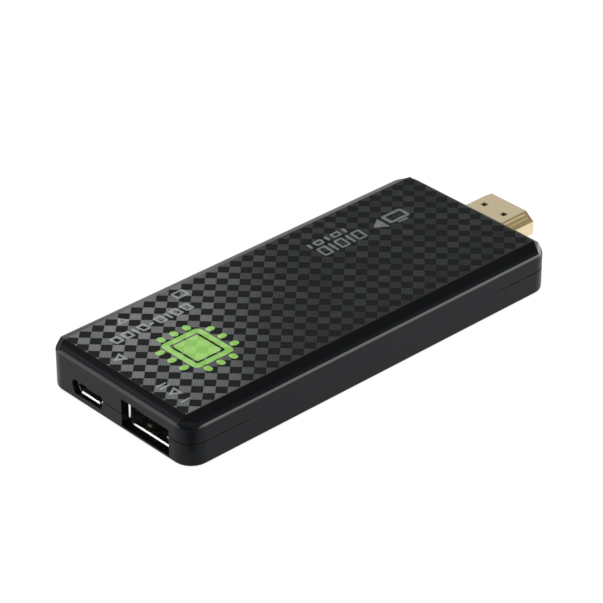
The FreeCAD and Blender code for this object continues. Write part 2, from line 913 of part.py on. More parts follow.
def plug_core(contacts):
    """The moulded core that fills the sheet, with a slot for the mating tongue."""
    low, high = plug_levels()
    end = "(plug_length - plug_core_recess)"
    block = tapered_block(
        "core_block",
        "plug_width - 2 * (plug_sheet + plug_core_gap)",
        f"plug_side_height - {SHEET_SIDE_SHARE} * plug_sheet - {CORE_SIDE_SHARE} * plug_core_gap",
        "plug_height - 2 * (plug_sheet + plug_core_gap)",
        "plug_narrow_width - plug_sheet - 2 * plug_core_gap",
        end,
        "0",
        "0",
        "plug_sheet + plug_core_gap",
    )
    slot = centred_box(
        "core_slot",
        f"({end} + plug_inside) / 2 + plug_slot_rim",
        "0",
        f"{end} - plug_inside",
        "plug_slot_width",
        (low, high),
    )
    return cut("plug_core", block, [slot] + contacts)


def host_socket():
    """The full-size host socket: folded sheet, tongue block and four contacts."""
    half_width, half_height = "(host_width / 2)", "(host_height / 2)"
    outer = box(
        "host_outer", ("0", "host_length"), (f"-{half_width}", half_width), (f"-{half_height}", half_height)
    )
    bore = box(
        "host_bore",
        ("-host_length", "2 * host_length"),
        (f"host_sheet - {half_width}", f"{half_width} - host_sheet"),
        (f"host_sheet - {half_height}", f"{half_height} - host_sheet"),
    )
    place = {"x": "host_mouth", "y": "-host_offset", "z": "host_centre_height"}
    keep("host_socket_shell", move(cut("host_sheet_box", outer, [bore]), **place))
    contacts = host_contacts()
    keep("host_socket_insulator", move(host_core(contacts), **place))
    keep("host_socket_contacts", move(group("host_contact_set", contacts), **place))


def host_contacts():
    """Flat strips under the tongue with tails on the board behind the socket."""
    thick = "host_contact_thickness"
    contacts = []
    for pitch in (
        "-host_contact_outer_pitch",
        "-host_contact_inner_pitch",
        "host_contact_inner_pitch",
        "host_contact_outer_pitch",
    ):
        y = (f"{pitch} / 2 - host_contact_width / 2", f"{pitch} / 2 + host_contact_width / 2")
        strip = box("strip", ("host_contact_recess", f"host_length + {thick}"), y, (f"-{thick}", "0"))
        riser = box(
            "riser", ("host_length", f"host_length + {thick}"), y, (f"-{thick}", f"host_rise + {thick}")
        )
        foot = box(
            "foot",
            ("host_length", "host_length + host_tail_length"),
            y,
            ("host_rise", f"host_rise + {thick}"),
        )
        contacts.append(fuse("host_contact", [strip, riser, foot]))
    return contacts


def host_core(contacts):
    """The moulded block at the back of the full-size socket and its tongue."""
    half_width = "(host_width / 2 - host_sheet)"
    half_height = "(host_height / 2 - host_sheet)"
    block = box(
        "host_block",
        ("host_length - host_core_length", "host_length"),
        (f"-{half_width}", half_width),
        (f"-{half_height}", half_height),
    )
    tongue = box(
        "host_tongue",
        ("tongue_recess", "host_length - host_core_length / 2"),
        ("-tongue_width / 2", "tongue_width / 2"),
        ("0", "tongue_thickness"),
    )
    return cut("host_core", fuse("host_core_block", [block, tongue]), contacts)


def small_socket(label, x, y, rotation):
    """A small socket hung under the board, built with its mouth at x = 0 and its board side down."""
    outer = tapered_block(
        label + "_outer",
        "small_width",
        "small_side_height",
        "small_height",
        "small_narrow_width",
        "small_length",
    )
    bore = tapered_block(
        label + "_bore",
        "small_width - 2 * small_sheet",
        f"small_side_height - {SHEET_SIDE_SHARE} * small_sheet",
        "small_height - 2 * small_sheet",
        "small_narrow_width - small_sheet",
        "3 * small_length",
        "-small_length",
        "0",
        "small_sheet",
    )
    place = {"x": x, "y": y, "z": "board_underside", "rotation": rotation}
    keep(label + "_shell", move(cut(label + "_sheet", outer, [bore]), **place))
    contacts = small_contacts(label)
    keep(label + "_insulator", move(small_core(label, contacts), **place))
    keep(label + "_contacts", move(group(label + "_contact_set", contacts), **place))


def small_contacts(label):
    """Strips on the tongue, with tails behind the socket against the board."""
    face = "(small_tongue_rise + small_tongue_thickness)"
    thick = "small_contact_thickness"
    contacts = []
    for index in range(int(sheet.small_contact_count)):
        middle = f"(({index} - (small_contact_count - 1) / 2) * small_contact_pitch)"
        y = (f"{middle} - small_contact_width / 2", f"{middle} + small_contact_width / 2")
        strip = box(
            label + "_strip",
            ("small_core_length / 2", f"small_length + {thick}"),
            y,
            (face, f"{face} + {thick}"),
        )
        riser = box(
            label + "_riser", ("small_length", f"small_length + {thick}"), y, ("0", f"{face} + {thick}")
        )
        foot = box(label + "_foot", ("small_length", "small_length + small_tail_length"), y, ("0", thick))
        contacts.append(fuse(label + "_contact", [strip, riser, foot]))
    return contacts


def small_core(label, contacts):
    """The moulded block at the back of a small socket and the tongue that it carries."""
    block = tapered_block(
        label + "_block",
        "small_width - 2 * (small_sheet + small_core_gap)",
        f"small_side_height - {SHEET_SIDE_SHARE} * small_sheet - {CORE_SIDE_SHARE} * small_core_gap",
        "small_height - 2 * (small_sheet + small_core_gap)",
        "small_narrow_width - small_sheet - 2 * small_core_gap",
        "small_core_length",
        "small_length - small_core_length",
        "0",
        "small_sheet + small_core_gap",
    )
    tongue = box(
        label + "_tongue",
        ("small_core_length / 4", "small_length - small_core_length / 2"),
        ("-small_tongue_width / 2", "small_tongue_width / 2"),
        ("small_tongue_rise", "small_tongue_rise + small_tongue_thickness"),
    )
    return cut(label + "_core", fuse(label + "_core_block", [block, tongue]), contacts)


def card_socket():
    """The memory card socket: tray, cover, contacts, and the slider with its spring."""
    half = "(card_socket_width / 2)"
    passage = "(card_passage_width / 2)"
    tray_floor = box("tray_floor", ("0", "card_socket_length"), (f"-{half}", half), ("0", "card_floor"))
    walls = [
        box(
            "tray_near_wall",
            ("0", "card_socket_length"),
            (f"{half} - card_wall", half),
            ("0", "card_passage_top"),
        ),
        box(
            "tray_far_wall",
            ("0", "card_socket_length"),
            (f"-{half}", f"-{passage}"),
            ("0", "card_passage_top"),
        ),
        box(
            "tray_end",
            ("card_socket_length - card_wall", "card_socket_length"),
            (f"-{half}", half),
            ("0", "card_passage_top"),
        ),
    ]
    cover = box(
        "cover_outer", ("0", "card_socket_length"), (f"-{half} - card_sheet", f"{half} + card_sheet"), (
            "0", "card_socket_height"
        )
    )
    cover_room = box(
        "cover_room",
        ("-card_socket_length", "2 * card_socket_length"),
        (f"-{half}", half),
        ("-card_socket_height", "card_passage_top"),
    )
    place = {
        "x": "card_x",
        "y": "card_mouth",
        "z": "board_underside",
        "rotation": FACING_FAR_SIDE.multiply(HUNG_UNDER_BOARD),
    }
    keep("card_socket_base", move(fuse("tray", [tray_floor] + walls), **place))
    keep("card_socket_cover", move(cut("cover", cover, [cover_room]), **place))
    keep("card_contacts", move(group("card_contact_set", card_contacts()), **place))
    keep("card_slider", move(card_slider(), **place))
    keep("card_spring", card_spring(place["rotation"]))


def card_contacts():
    """A row of flat strips on the tray's floor."""
    end = "(card_socket_length - card_wall - card_contact_inset)"
    contacts = []
    for index in range(int(sheet.card_contact_count)):
        middle = f"(({index} - (card_contact_count - 1) / 2) * card_contact_pitch)"
        contacts.append(
            centred_box(
                "card_contact",
                f"{end} - card_contact_length / 2",
                middle,
                "card_contact_length",
                "card_contact_width",
                ("card_floor", "card_floor + card_contact_thickness"),
            )
        )
    return contacts


def card_slider():
    """The sliding block beside the card, with a nose that the card pushes on."""
    passage = "(card_passage_width / 2)"
    low, high = "card_floor + slider_gap + card_contact_thickness", "card_passage_top - slider_gap"
    end = "(slider_rest + slider_length)"
    bar = box(
        "slider_bar",
        ("slider_rest", end),
        (f"{passage} + slider_gap", f"{passage} + channel_width - slider_gap"),
        (low, high),
    )
    nose = box(
        "slider_nose",
        (f"{end} - slider_nose_length", end),
        (f"{passage} - slider_nose", f"{passage} + channel_width / 2"),
        (low, high),
    )
    return fuse("slider", [bar, nose])


def card_spring(turn):
    """The coil that pushes the slider out again."""
    start = (
        sheet.card_socket_length - sheet.card_wall - sheet.slider_travel - sheet.spring_solid_length
    )
    wire, radius = sheet.spring_wire_radius, sheet.spring_radius
    length = sheet.slider_travel + sheet.spring_solid_length - 2 * wire - 2 * sheet.slider_gap
    pitch = length / sheet.spring_turns
    helix = Part.makeHelix(pitch, length, radius)
    tangent = Vector(0, 2 * math.pi * radius, pitch)
    circle = Part.Wire(Part.Circle(Vector(radius, 0, 0), tangent, wire).toShape())
    coil = Part.Wire(helix).makePipeShell([circle], True, True)
    along = Placement(
        Vector(
            start + wire + sheet.slider_gap,
            (sheet.card_socket_width / 2 - sheet.card_wall + sheet.card_passage_width / 2) / 2,
            (sheet.card_floor + sheet.card_socket_height - sheet.card_sheet) / 2,
        ),
        Rotation(Vector(0, 1, 0), 90),
    )
    mouth = sheet.case_width / 2 - sheet.card_recess
    layout = sheet.board_gap + sheet.end_wall + sheet.layout_reach - sheet.case_length / 2
    socket = Placement(Vector(layout - sheet.card_offset, mouth, sheet.board_underside), turn)
    item = doc.addObject("Part::Feature", "spring")
    item.Shape = coil
    item.Placement = socket.multiply(along)
    return item


def on_board(name, x, y, length, width, height):
    """A block soldered on the board's upper face."""
    return centred_box(name, x, y, length, width, ("board_top", f"board_top + {height}"))


def under_board(name, x, y, length, width, height):
    """A block soldered on the board's lower face."""
    return centred_box(name, x, y, length, width, (f"board_underside - {height}", "board_underside"))


def processor_stack():
    """The processor, the soft pad on it and the plate that spreads its heat."""
    keep("processor", on_board("chip", "layout + chip_offset", "0", "chip_side", "chip_side", "chip_height"))
    pad_low = "board_top + chip_height"
    keep(
        "thermal_pad",
        centred_box("soft_pad", "layout + chip_offset", "0", "chip_side", "chip_side", (pad_low, "pad_top")),
    )
    plate = ("pad_top", "pad_top + spreader_thickness")
    keep(
        "heat_spreader",
        centred_box("plate", "layout + spreader_offset", "0", "spreader_length", "spreader_width", plate),
    )


def memory_chips():
    """Memory on both faces of the board, and the flash chip beside the processor."""
    chips = []
    for side in (on_board, under_board):
        for y in ("-memory_spacing / 2", "memory_spacing / 2"):
            chips.append(
                side("memory", "layout + memory_offset", y, "memory_length", "memory_width", "memory_height")
            )
    keep("memory_chips", group("memory_set", chips))
    keep(
        "flash_chip",
        on_board(
            "flash",
            "layout - flash_offset_x",
            "flash_offset_y",
            "flash_length",
            "flash_width",
            "flash_height",
        ),
    )


def power_parts():
    """The chip that makes the board's voltages and its row of coils."""
    manager = on_board(
        "manager",
        "layout - manager_offset_x",
        "-manager_offset_y",
        "manager_side",
        "manager_side",
        "manager_height",
    )
    keep("power_manager", manager)
    coils = []
    for index in range(int(sheet.inductor_count)):
        x = f"(layout - inductor_offset_x + {index} * inductor_pitch)"
        coils.append(
            on_board("coil", x, "-inductor_offset_y", "inductor_side", "inductor_side", "inductor_height")
        )
    keep("power_inductors", group("coil_set", coils))


def radio_parts():
    """The wireless module with its screening can, and the chip aerial at the board's end."""
    x, y = "layout - radio_offset_x", "radio_offset_y"
    keep("radio_board", on_board("radio_board", x, y, "radio_side", "radio_side", "radio_board_thickness"))
    base = "board_top + radio_board_thickness"
    side = "(radio_side - 2 * radio_shield_inset)"
    can = centred_box("can_outer", x, y, side, side, (base, f"{base} + radio_shield_height"))
    room_side = f"({side} - 2 * radio_shield_sheet)"
    room = centred_box(
        "can_room",
        x,
        y,
        room_side,
        room_side,
        ("board_top", f"{base} + radio_shield_height - radio_shield_sheet"),
    )
    keep("radio_shield", cut("can", can, [room]))
    aerial = on_board(
        "aerial",
        "board_socket_end + antenna_inset + antenna_width / 2",
        y,
        "antenna_width",
        "antenna_length",
        "antenna_height",
    )
    keep("chip_antenna", aerial)


def small_parts():
    """Crystals, the status light and rows of capacitors and resistors."""
    crystals = [
        on_board("crystal", "layout - crystal_offset", y, "crystal_width", "crystal_length", "crystal_height")
        for y in ("-crystal_spacing / 2", "crystal_spacing / 2")
    ]
    keep("crystals", group("crystal_set", crystals))
    keep(
        "status_led",
        on_board("light", "layout - led_offset_x", "led_y", "led_length", "led_width", "led_height"),
    )
    rows = (
        (
            "capacitors",
            "capacitor_row_count",
            "capacitor_height",
            "layout + chip_offset",
            "(chip_side / 2 + capacitor_row_gap)",
        ),
        (
            "resistors",
            "resistor_row_count",
            "resistor_height",
            "(layout + chip_offset + resistor_row_shift)",
            "(board_side - resistor_row_inset)",
        ),
    )
    for label, count, height, middle, row in rows:
        pieces = []
        for side in ("-", ""):
            for index in range(int(getattr(sheet, count))):
                x = f"({middle} + ({index} - ({count} - 1) / 2) * small_part_pitch)"
                pieces.append(
                    on_board(label[:-1], x, side + row, "small_part_width", "small_part_length", height)
                )
        keep(label, group(label + "_set", pieces))


def recovery_switch():
    """The hidden switch over the pinhole: body, cover, dome and the plunger that a pin pushes up."""
    x, y = "switch_x", "switch_y"
    clear = "plunger_radius + plunger_gap"
    body = under_board("switch_block", x, y, "switch_length", "switch_width", "switch_height")
    bore = cylinder("switch_bore", x, y, clear, ("switch_low - switch_cover", "switch_bore_top"))
    keep("recovery_switch_body", cut("switch_housing", body, [bore]))
    plate = centred_box(
        "switch_plate", x, y, "switch_length", "switch_width", ("switch_low - switch_cover", "switch_low")
    )
    way = cylinder(
        "switch_way", x, y, clear, ("switch_low - 2 * switch_cover", "switch_low + switch_cover")
    )
    keep("recovery_switch_cover", cut("switch_cover_plate", plate, [way]))
    keep("recovery_plunger", cylinder("plunger", x, y, "plunger_radius", ("plunger_low", "plunger_high")))
    outer = doc.addObject("Part::Cone", "dome_outer")
    bind(outer, Radius1="plunger_radius", Radius2="dome_top_radius", Height="dome_height")
    move(outer, x, y, "plunger_high")
    inner = doc.addObject("Part::Cone", "dome_inner")
    bind(
        inner,
        Radius1="plunger_radius - dome_sheet",
        Radius2="dome_top_radius - dome_sheet",
        Height="dome_height - dome_sheet",
    )
    move(inner, x, y, "plunger_high")
    keep("recovery_dome", cut("dome", outer, [inner]))


def check_and_write():
    """Stop on any failed object or bad shape; only then write one file per sub-part."""
    doc.recompute()
    for item in doc.Objects:
        if "Invalid" in item.State or "Error" in item.State:
            raise RuntimeError(f"{item.Name} ({item.Label}) failed: {item.State}")
    for item in nodes:
        if item.Shape.isNull() or not item.Shape.isValid() or not item.Shape.Solids:
            raise RuntimeError(f"{item.Label} has no sound shape")
    for item in nodes:
        item.Shape.exportStep(f"parts/{item.Label}.step")
        print(f"{item.Label}: {len(item.Shape.Solids)} solids, {item.Shape.Volume:.2f} mm3")


case_shells()
top_label()
main_board()
board_screws()
video_plug()
host_socket()
small_socket("power_socket", "small_recess - case_end", "power_offset", HUNG_UNDER_BOARD)
small_socket(
    "data_socket", "data_x", "case_side - small_recess", FACING_FAR_SIDE.multiply(HUNG_UNDER_BOARD)
)
card_socket()
processor_stack()
memory_chips()
power_parts()
radio_parts()
small_parts()
recovery_switch()
check_and_write()
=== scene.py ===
import bmesh
import bpy
import math
from mathutils import Matrix, Vector


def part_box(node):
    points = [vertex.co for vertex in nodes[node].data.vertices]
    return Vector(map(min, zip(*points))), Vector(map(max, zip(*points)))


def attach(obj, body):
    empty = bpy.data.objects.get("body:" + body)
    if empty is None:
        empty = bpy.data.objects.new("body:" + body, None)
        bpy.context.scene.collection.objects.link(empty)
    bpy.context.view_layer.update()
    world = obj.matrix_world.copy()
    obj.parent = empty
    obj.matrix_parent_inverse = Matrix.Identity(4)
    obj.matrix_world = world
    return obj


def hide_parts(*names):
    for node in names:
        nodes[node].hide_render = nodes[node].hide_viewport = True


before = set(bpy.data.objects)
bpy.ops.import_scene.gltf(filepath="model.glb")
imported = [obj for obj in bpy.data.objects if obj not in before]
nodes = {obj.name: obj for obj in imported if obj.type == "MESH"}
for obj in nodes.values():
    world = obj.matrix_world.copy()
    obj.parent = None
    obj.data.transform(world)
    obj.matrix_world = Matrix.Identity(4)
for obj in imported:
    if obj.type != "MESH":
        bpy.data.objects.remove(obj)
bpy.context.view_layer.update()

MM = 0.001
IMAGE_SIDE = 603

# Viewing direction, distance and lens fitted to the photo's straight edges, in degrees and millimetres
VIEW_AZIMUTH = -42.689
VIEW_ELEVATION = 31.754
VIEW_ROLL = -0.103
VIEW_DISTANCE = 570.893
VIEW_FOCAL_PIXELS = 3001.174
VIEW_SLIDE = (-0.583, -1.611)
VIEW_CENTRE = (-1.75, 0.0, 6.0)
SENSOR_WIDTH = 36.0

# The studio: its light away from the eye, its floor, and how bright the dark cards on the floor are
AROUND_COLOUR = (0.30, 0.30, 0.31)
FLOOR_SIZE = 2.5
FLOOR_DROP = 0.00002
FLOOR_PAINT = 0.86
FLOOR_SHADE = 0.22
FLOOR_GLOW = 0.90
CARD_LEVEL = 0.12

# The dark ceiling: how far off it hangs, in metres, and its colour by the height over that distance
CEILING_RADIUS = 1.8
CEILING_FOOT = 0.02
CEILING_STOPS = (
    (0.04, (1.0, 1.0, 1.0)),
    (0.14, (0.85, 0.86, 0.88)),
    (0.32, (0.1760, 0.1960, 0.200)),
    (0.50, (0.0836, 0.0931, 0.095)),
    (0.75, (0.0704, 0.0784, 0.080)),
)

# The label sheet stops this high, its ink stands up to the part's height, and its top edge is rounded
SHEET_TOP = 10.19 * MM
INK_TOP = 10.198 * MM
LABEL_EDGE_ROUND = 0.06 * MM
CUT_EDGE_SLOPE = 0.9

# The full-size socket's mouth in millimetres: where its sheet ends, the sheet's inside, and its lips
HOST_CENTRE = (-7.92, 3.74)
HOST_INNER = (6.2, 2.55)
HOST_LIP = {"mouth": -44.75, "radius": 0.25, "skirt": 0.22, "thickness": 0.12}
HOST_LIP_INSET = 0.12
HOST_LIP_CORNER = 0.40

# The sprung strips in its floor: their places, and their length and rise from root to tip
SPRING_CENTRES = (-5.2, -10.6)
SPRING_PROFILE = ((-41.6, 0.00), (-42.5, 0.34), (-42.8, 0.40), (-43.1, 0.36), (-43.4, 0.16))
SPRING_TIP_HALF = 0.50
SPRING_TAPER = 0.25
SPRING_THICKNESS = 0.10

# The power socket's mouth in the same way
POWER_CENTRE = 8.43
POWER_MOUTH = -45.80
POWER_FLOOR = 2.10
POWER_LIP = {"mouth": POWER_MOUTH, "radius": 0.16, "skirt": 0.28, "thickness": 0.12}
POWER_LIP_HALF = 2.55

# How far the sockets' lips are bent outward
FLANGE_BEND = math.radians(67)

# How the power socket's lip is turned and slid to become the data socket's, on the far long side
DATA_CENTRE = -32.70
DATA_MOUTH = 19.20
DATA_SOCKET_TURN = (
    Matrix.Translation(Vector((DATA_CENTRE, DATA_MOUTH, 0)) * MM)
    @ Matrix.Rotation(math.radians(-90), 4, "Z")
    @ Matrix.Translation(Vector((-POWER_MOUTH, -POWER_CENTRE, 0)) * MM)
)

# The plug in millimetres: its middle, its slope's foot and top, and the pressed rib on that slope
PLUG_OFFSET = 1.35
PLUG_SLOPE = ((6.95, 4.48), (4.80, 6.07))
PLUG_RIB_SHARE = 0.62
PLUG_RIB_HALF = 0.62
PLUG_RIB_HEIGHT = 0.13
PLUG_RIB_SINK = 0.02
PLUG_RIB_ENDS = (47.6, 56.4)

# The green emblem in millimetres: its body, the ring and gap round its core, and its pins
EMBLEM_CENTRE = (-28.9, -2.0)
EMBLEM_BODY = (9.6, 10.6)
EMBLEM_RING = 1.3
EMBLEM_GAP = 0.5
EMBLEM_RADII = (1.2, 0.5, 0.4)
EMBLEM_PIN = (1.9, 1.45)
EMBLEM_PIN_GAP = 0.35
EMBLEM_PIN_SPREAD = 0.32

# The silver print in millimetres. Frames: centre, outer size, inner size, corner radii
MARK_FRAMES = (
    ((31.6, 7.9), (5.4, 3.3), (3.9, 1.9), (0.6, 0.25)),
    ((-18.9, 14.5), (3.0, 2.3), (2.1, 1.4), (0.4, 0.2)),
)

# Bars: centre, size, corner radius
MARK_BARS = (
    ((31.6, 5.75), (2.6, 0.55), 0.25),
    ((-29.6, 10.15), (1.1, 0.5), 0.25),
    ((-41.8, -7.9), (2.3, 0.42), 0.2),
    ((-41.8, -6.9), (2.3, 0.42), 0.2),
    ((-41.8, -13.6), (2.3, 0.42), 0.2),
)

# Rows of cells: start, base line, height, widths, gap, lean, stroke
MARK_ROWS = (
    (10.9, 5.9, 3.2, (2.4, 0.6, 2.4, 0.6, 2.4), 0.75, 0.08, 0.50),
    (10.7, 9.75, 1.7, (0.6, 2.2, 0.6, 2.2, 0.6), 0.90, 0.08, 0.45),
    (-38.9, 9.0, 2.3, (2.0, 2.0, 0.6, 2.0), 0.62, -0.10, 0.50),
    (-28.3, 9.0, 2.3, (2.0, 0.6, 2.0, 2.0), 0.62, -0.10, 0.50),
)
CELL_RADII = (0.35, 0.12)

# Pointers: their corners, and how large the hollow in them is
MARK_POINTERS = (
    ((-43.1, 5.1), (-40.6, 3.7), (-40.6, 6.5)),
    ((-43.1, -10.3), (-40.6, -11.7), (-40.6, -8.9)),
    ((-33.0, 15.9), (-34.4, 13.9), (-31.6, 13.9)),
)
POINTER_HOLLOW = 0.42
PLUG_POINTER = ((25.2, 7.5), (28.0, 5.6), (28.0, 9.4))

# The seam between the shells in metres: its level, its dip in the socket end, and its gap, whose
# darkness is painted shade
SEAM_HEIGHT = 4.95 * MM
SEAM_DROP = 1.45 * MM
SEAM_DIP = (-14.52 * MM, 12.905 * MM)
SEAM_SLOPE_RUN = 2.3 * MM
SEAM_DIP_END = -44.8 * MM
SEAM_HALF_GAP = 0.06 * MM
SEAM_EDGE = 2.4 * SEAM_HALF_GAP

# Where the gap widens towards the plug end and by how much, and where it opens away from the middle
SEAM_WIDENS = (40.0 * MM, 46.5 * MM)
SEAM_WIDENING = 0.9
SEAM_OPENS = (27.0 * MM, 36.0 * MM)
SEAM_LEAST = 0.2
SEAM_PORT_LOSS = 0.65

# The polished band along the shoulder: where it starts and stops, and its loss at the socket end
POLISH_START = (8.05 * MM, 8.45 * MM)
POLISH_STOP = (8.80 * MM, 9.30 * MM)
POLISH_LOSS = 0.6

# The crown of the socket end's chamfers: its top, depth and curve, and how it fades along the casing
CROWN_TOP = 9.55 * MM
CROWN_DEPTH = 0.76 * MM
CROWN_CURVE = 430.0
CROWN_SPREAD = (42.7 * MM, 46.5 * MM)

# How far the roughness swings with the tone of a moulding or the streaks of a sheet
MOULDED_SWING = 0.12
BRUSHED_SWING = 0.18

# How deep the bumps of a grain and of a brushing are, in metres
GRAIN_DEPTH = 0.00002
BRUSHING_DEPTH = 0.00001

# Sheet metal: how dark it is between its streaks, and how much its worn edges show
STREAK_SHADE = 0.86
WEAR_SHARE = 0.4

# The label's printed check: square side, and where its pattern starts along its two diagonals
CHECK_SIDE = 2.2 * MM
CHECK_START = (1.705, 0.282)

# Its fine hatch: lines in a square, and the share of squares that are hatched the other way
HATCH_LINES = 8.0
HATCH_TURNED = 0.22

# Its inks: the pale one cool and warm, the black one between and on the lines of the hatch
PALE_INKS = ((0.225, 0.240, 0.245), (0.250, 0.244, 0.233))
BLACK_INKS = ((0.0145, 0.0150, 0.0152), (0.0222, 0.0222, 0.0228))

# How a pale square's level follows chance and its hatch: gain and least value
CHANCE_LEVEL = (0.36, 0.62)
HATCH_LEVEL = (1.10, 0.42)

# How metallic a pale square is, how its roughness differs, and how deep the hatch is printed
PALE_METAL = 0.95
PALE_GLOSS = (-0.08, 0.36)
HATCH_RELIEF = 0.06

# How far the check shows through the ink that is printed over it: by square, and by chance
CHECK_SHOWS = (0.6, 0.15)
CHANCE_SHOWS = 0.2

# The casing's plastic, the tints of what it mirrors, and its polish
CASING_COLOURS = ((0.0050, 0.0053, 0.0059), (0.0075, 0.0079, 0.0088))
# Painted shade for the seam gap, as a near-black colour, and how deep its groove is pressed in the bump
GAP_SHADE_COLOUR = (0.0005, 0.0005, 0.0005)
GAP_RELIEF = -8.0
CASING_RELIEF = 0.12
CASING_TINT = (0.87, 0.93, 1.0)
POLISH_TINT = (0.90, 0.95, 1.0)
POLISH_INDEX = 1.9
POLISH_ROUGHNESS = 0.17

# The gilding, the painted shade on its sloped faces, and which facings count as a slope
GILT_COLOURS = ((0.95, 0.78, 0.48), (1.0, 0.86, 0.58))
GILT_LEAST_ROUGHNESS = 0.23
SLOPE_SHADE_COLOUR = (0.50, 0.39, 0.17)
SLOPE_SHADE_SIDEWAYS = (0.44, 0.59)
SLOPE_SHADE_UPWARDS = (0.12, 0.32)

# The board's lacquer, and its tracks
LACQUER_COLOURS = ((0.010, 0.055, 0.025), (0.018, 0.085, 0.040))
TRACK_COLOUR = (0.035, 0.120, 0.055)
TRACK_CELLS = 420.0
TRACK_EDGE = 0.42


def make_camera():
    """The camera at the photo's viewing angle."""
    azimuth, elevation, roll = map(math.radians, (VIEW_AZIMUTH, VIEW_ELEVATION, VIEW_ROLL))
    back = Vector(
        (
            math.sin(azimuth) * math.cos(elevation),
            -math.cos(azimuth) * math.cos(elevation),
            math.sin(elevation),
        )
    )
    level_right = (-back).cross(Vector((0, 0, 1))).normalized()
    level_up = level_right.cross(-back)
    right = level_right * math.cos(roll) + level_up * math.sin(roll)
    up = level_up * math.cos(roll) - level_right * math.sin(roll)
    place = Vector(VIEW_CENTRE) - right * VIEW_SLIDE[0] - up * VIEW_SLIDE[1] + back * VIEW_DISTANCE
    data = bpy.data.cameras.new("studio_camera")
    data.sensor_width = SENSOR_WIDTH
    data.lens = VIEW_FOCAL_PIXELS * SENSOR_WIDTH / IMAGE_SIDE
    data.clip_start = 0.05
    data.clip_end = 10.0
    camera = bpy.data.objects.new("studio_camera", data)
    bpy.context.scene.collection.objects.link(camera)
    turn = Matrix((right, up, back)).transposed().to_4x4()
    camera.matrix_world = Matrix.Translation(place * MM) @ turn
    bpy.context.scene.camera = camera


def softbox(name, place, aim, width, height, brightness, in_reflections=True, as_light=True):
    """A rectangular studio lamp of a given brightness, turned towards a point; places in metres."""
    data = bpy.data.lights.new(name, "AREA")
    data.shape = "RECTANGLE"
    data.size = width
    data.size_y = height
    data.energy = brightness * math.pi * width * height
    lamp = bpy.data.objects.new(name, data)
    bpy.context.scene.collection.objects.link(lamp)
    lamp.location = place
    lamp.rotation_euler = (Vector(place) - Vector(aim)).to_track_quat("Z", "Y").to_euler()
    lamp.visible_glossy = in_reflections
    lamp.visible_diffuse = as_light
    lamp.visible_camera = False


def make_lights():
    """Two fills that leave no glare, a softbox for the label, and three that only draw edges."""
    softbox(
        "overhead_fill",
        place=(-0.05, -0.05, 0.70),
        aim=(0, 0, 0),
        width=0.7,
        height=0.7,
        brightness=1.95,
        in_reflections=False,
    )
    softbox(
        "side_fill",
        place=(0.290, -0.370, 0.180),
        aim=(0, 0, 0),
        width=0.28,
        height=0.16,
        brightness=2.8,
        in_reflections=False,
    )
    softbox(
        "label_softbox",
        place=(0.036, 0.129, 0.105),
        aim=(-0.068, 0.016, 0.010),
        width=0.085,
        height=0.047,
        brightness=1.20,
    )
    softbox(
        "right_softbox",
        place=(0.295, -0.376, 0.155),
        aim=(0, 0, 0),
        width=0.28,
        height=0.24,
        brightness=1.15,
        as_light=False,
    )
    softbox(
        "left_softbox",
        place=(-0.372, 0.284, 0.125),
        aim=(-0.0465, 0.0, 0.009),
        width=0.14,
        height=0.18,
        brightness=0.95,
        as_light=False,
    )
    softbox(
        "end_softbox",
        place=(-0.245, 0.260, 0.270),
        aim=(-0.045, 0.0, 0.008),
        width=0.14,
        height=0.07,
        brightness=3.4,
        as_light=False,
    )


def new_group(name, inputs, outputs):
    """An empty node group with named sockets; inputs are (name, kind, value)."""
    group = bpy.data.node_groups.new(name, "ShaderNodeTree")
    for label, kind, value in inputs:
        socket = group.interface.new_socket(name=label, in_out="INPUT", socket_type="NodeSocket" + kind)
        if value is not None:
            socket.default_value = value
    for label, kind in outputs:
        group.interface.new_socket(name=label, in_out="OUTPUT", socket_type="NodeSocket" + kind)
    start = group.nodes.new("NodeGroupInput")
    end = group.nodes.new("NodeGroupOutput")
    return group, start, end


def calculate(tree, operation, first, second=None, third=None):
    """A maths node over numbers or sockets; returns its output."""
    node = tree.nodes.new("ShaderNodeMath")
    node.operation = operation
    for index, value in enumerate((first, second, third)):
        if value is None:
            continue
        if isinstance(value, (int, float)):
            node.inputs[index].default_value = value
        else:
            tree.links.new(value, node.inputs[index])
    return node.outputs["Value"]


def blend_colours(tree, share, first, second):
    """A colour between two, each given as a socket or as red, green and blue."""
    node = tree.nodes.new("ShaderNodeMix")
    node.data_type = "RGBA"
    if isinstance(share, (int, float)):
        node.inputs["Factor"].default_value = share
    else:
        tree.links.new(share, node.inputs["Factor"])
    for socket, value in ((node.inputs[6], first), (node.inputs[7], second)):
        if isinstance(value, (tuple, list)):
            socket.default_value = (*value[:3], 1)
        else:
            tree.links.new(value, socket)
    return node.outputs[2]


def surface_point(tree):
    """The point on the piece, in metres."""
    return tree.nodes.new("ShaderNodeTexCoord").outputs["Object"]


def soft_step(tree, value, low, high):
    """A smooth rise from nought to one as a value goes from low to high."""
    node = tree.nodes.new("ShaderNodeMapRange")
    node.interpolation_type = "SMOOTHSTEP"
    node.inputs["From Min"].default_value = low
    node.inputs["From Max"].default_value = high
    tree.links.new(value, node.inputs["Value"])
    return node.outputs["Result"]


def shows_background(tree):
    """A switch that is on for the camera and for what is seen in reflections and through glass."""
    path = tree.nodes.new("ShaderNodeLightPath")
    total = calculate(tree, "ADD", path.outputs["Is Camera Ray"], path.outputs["Is Glossy Ray"])
    total = calculate(tree, "ADD", total, path.outputs["Is Transmission Ray"])
    return calculate(tree, "MINIMUM", total, 1.0)


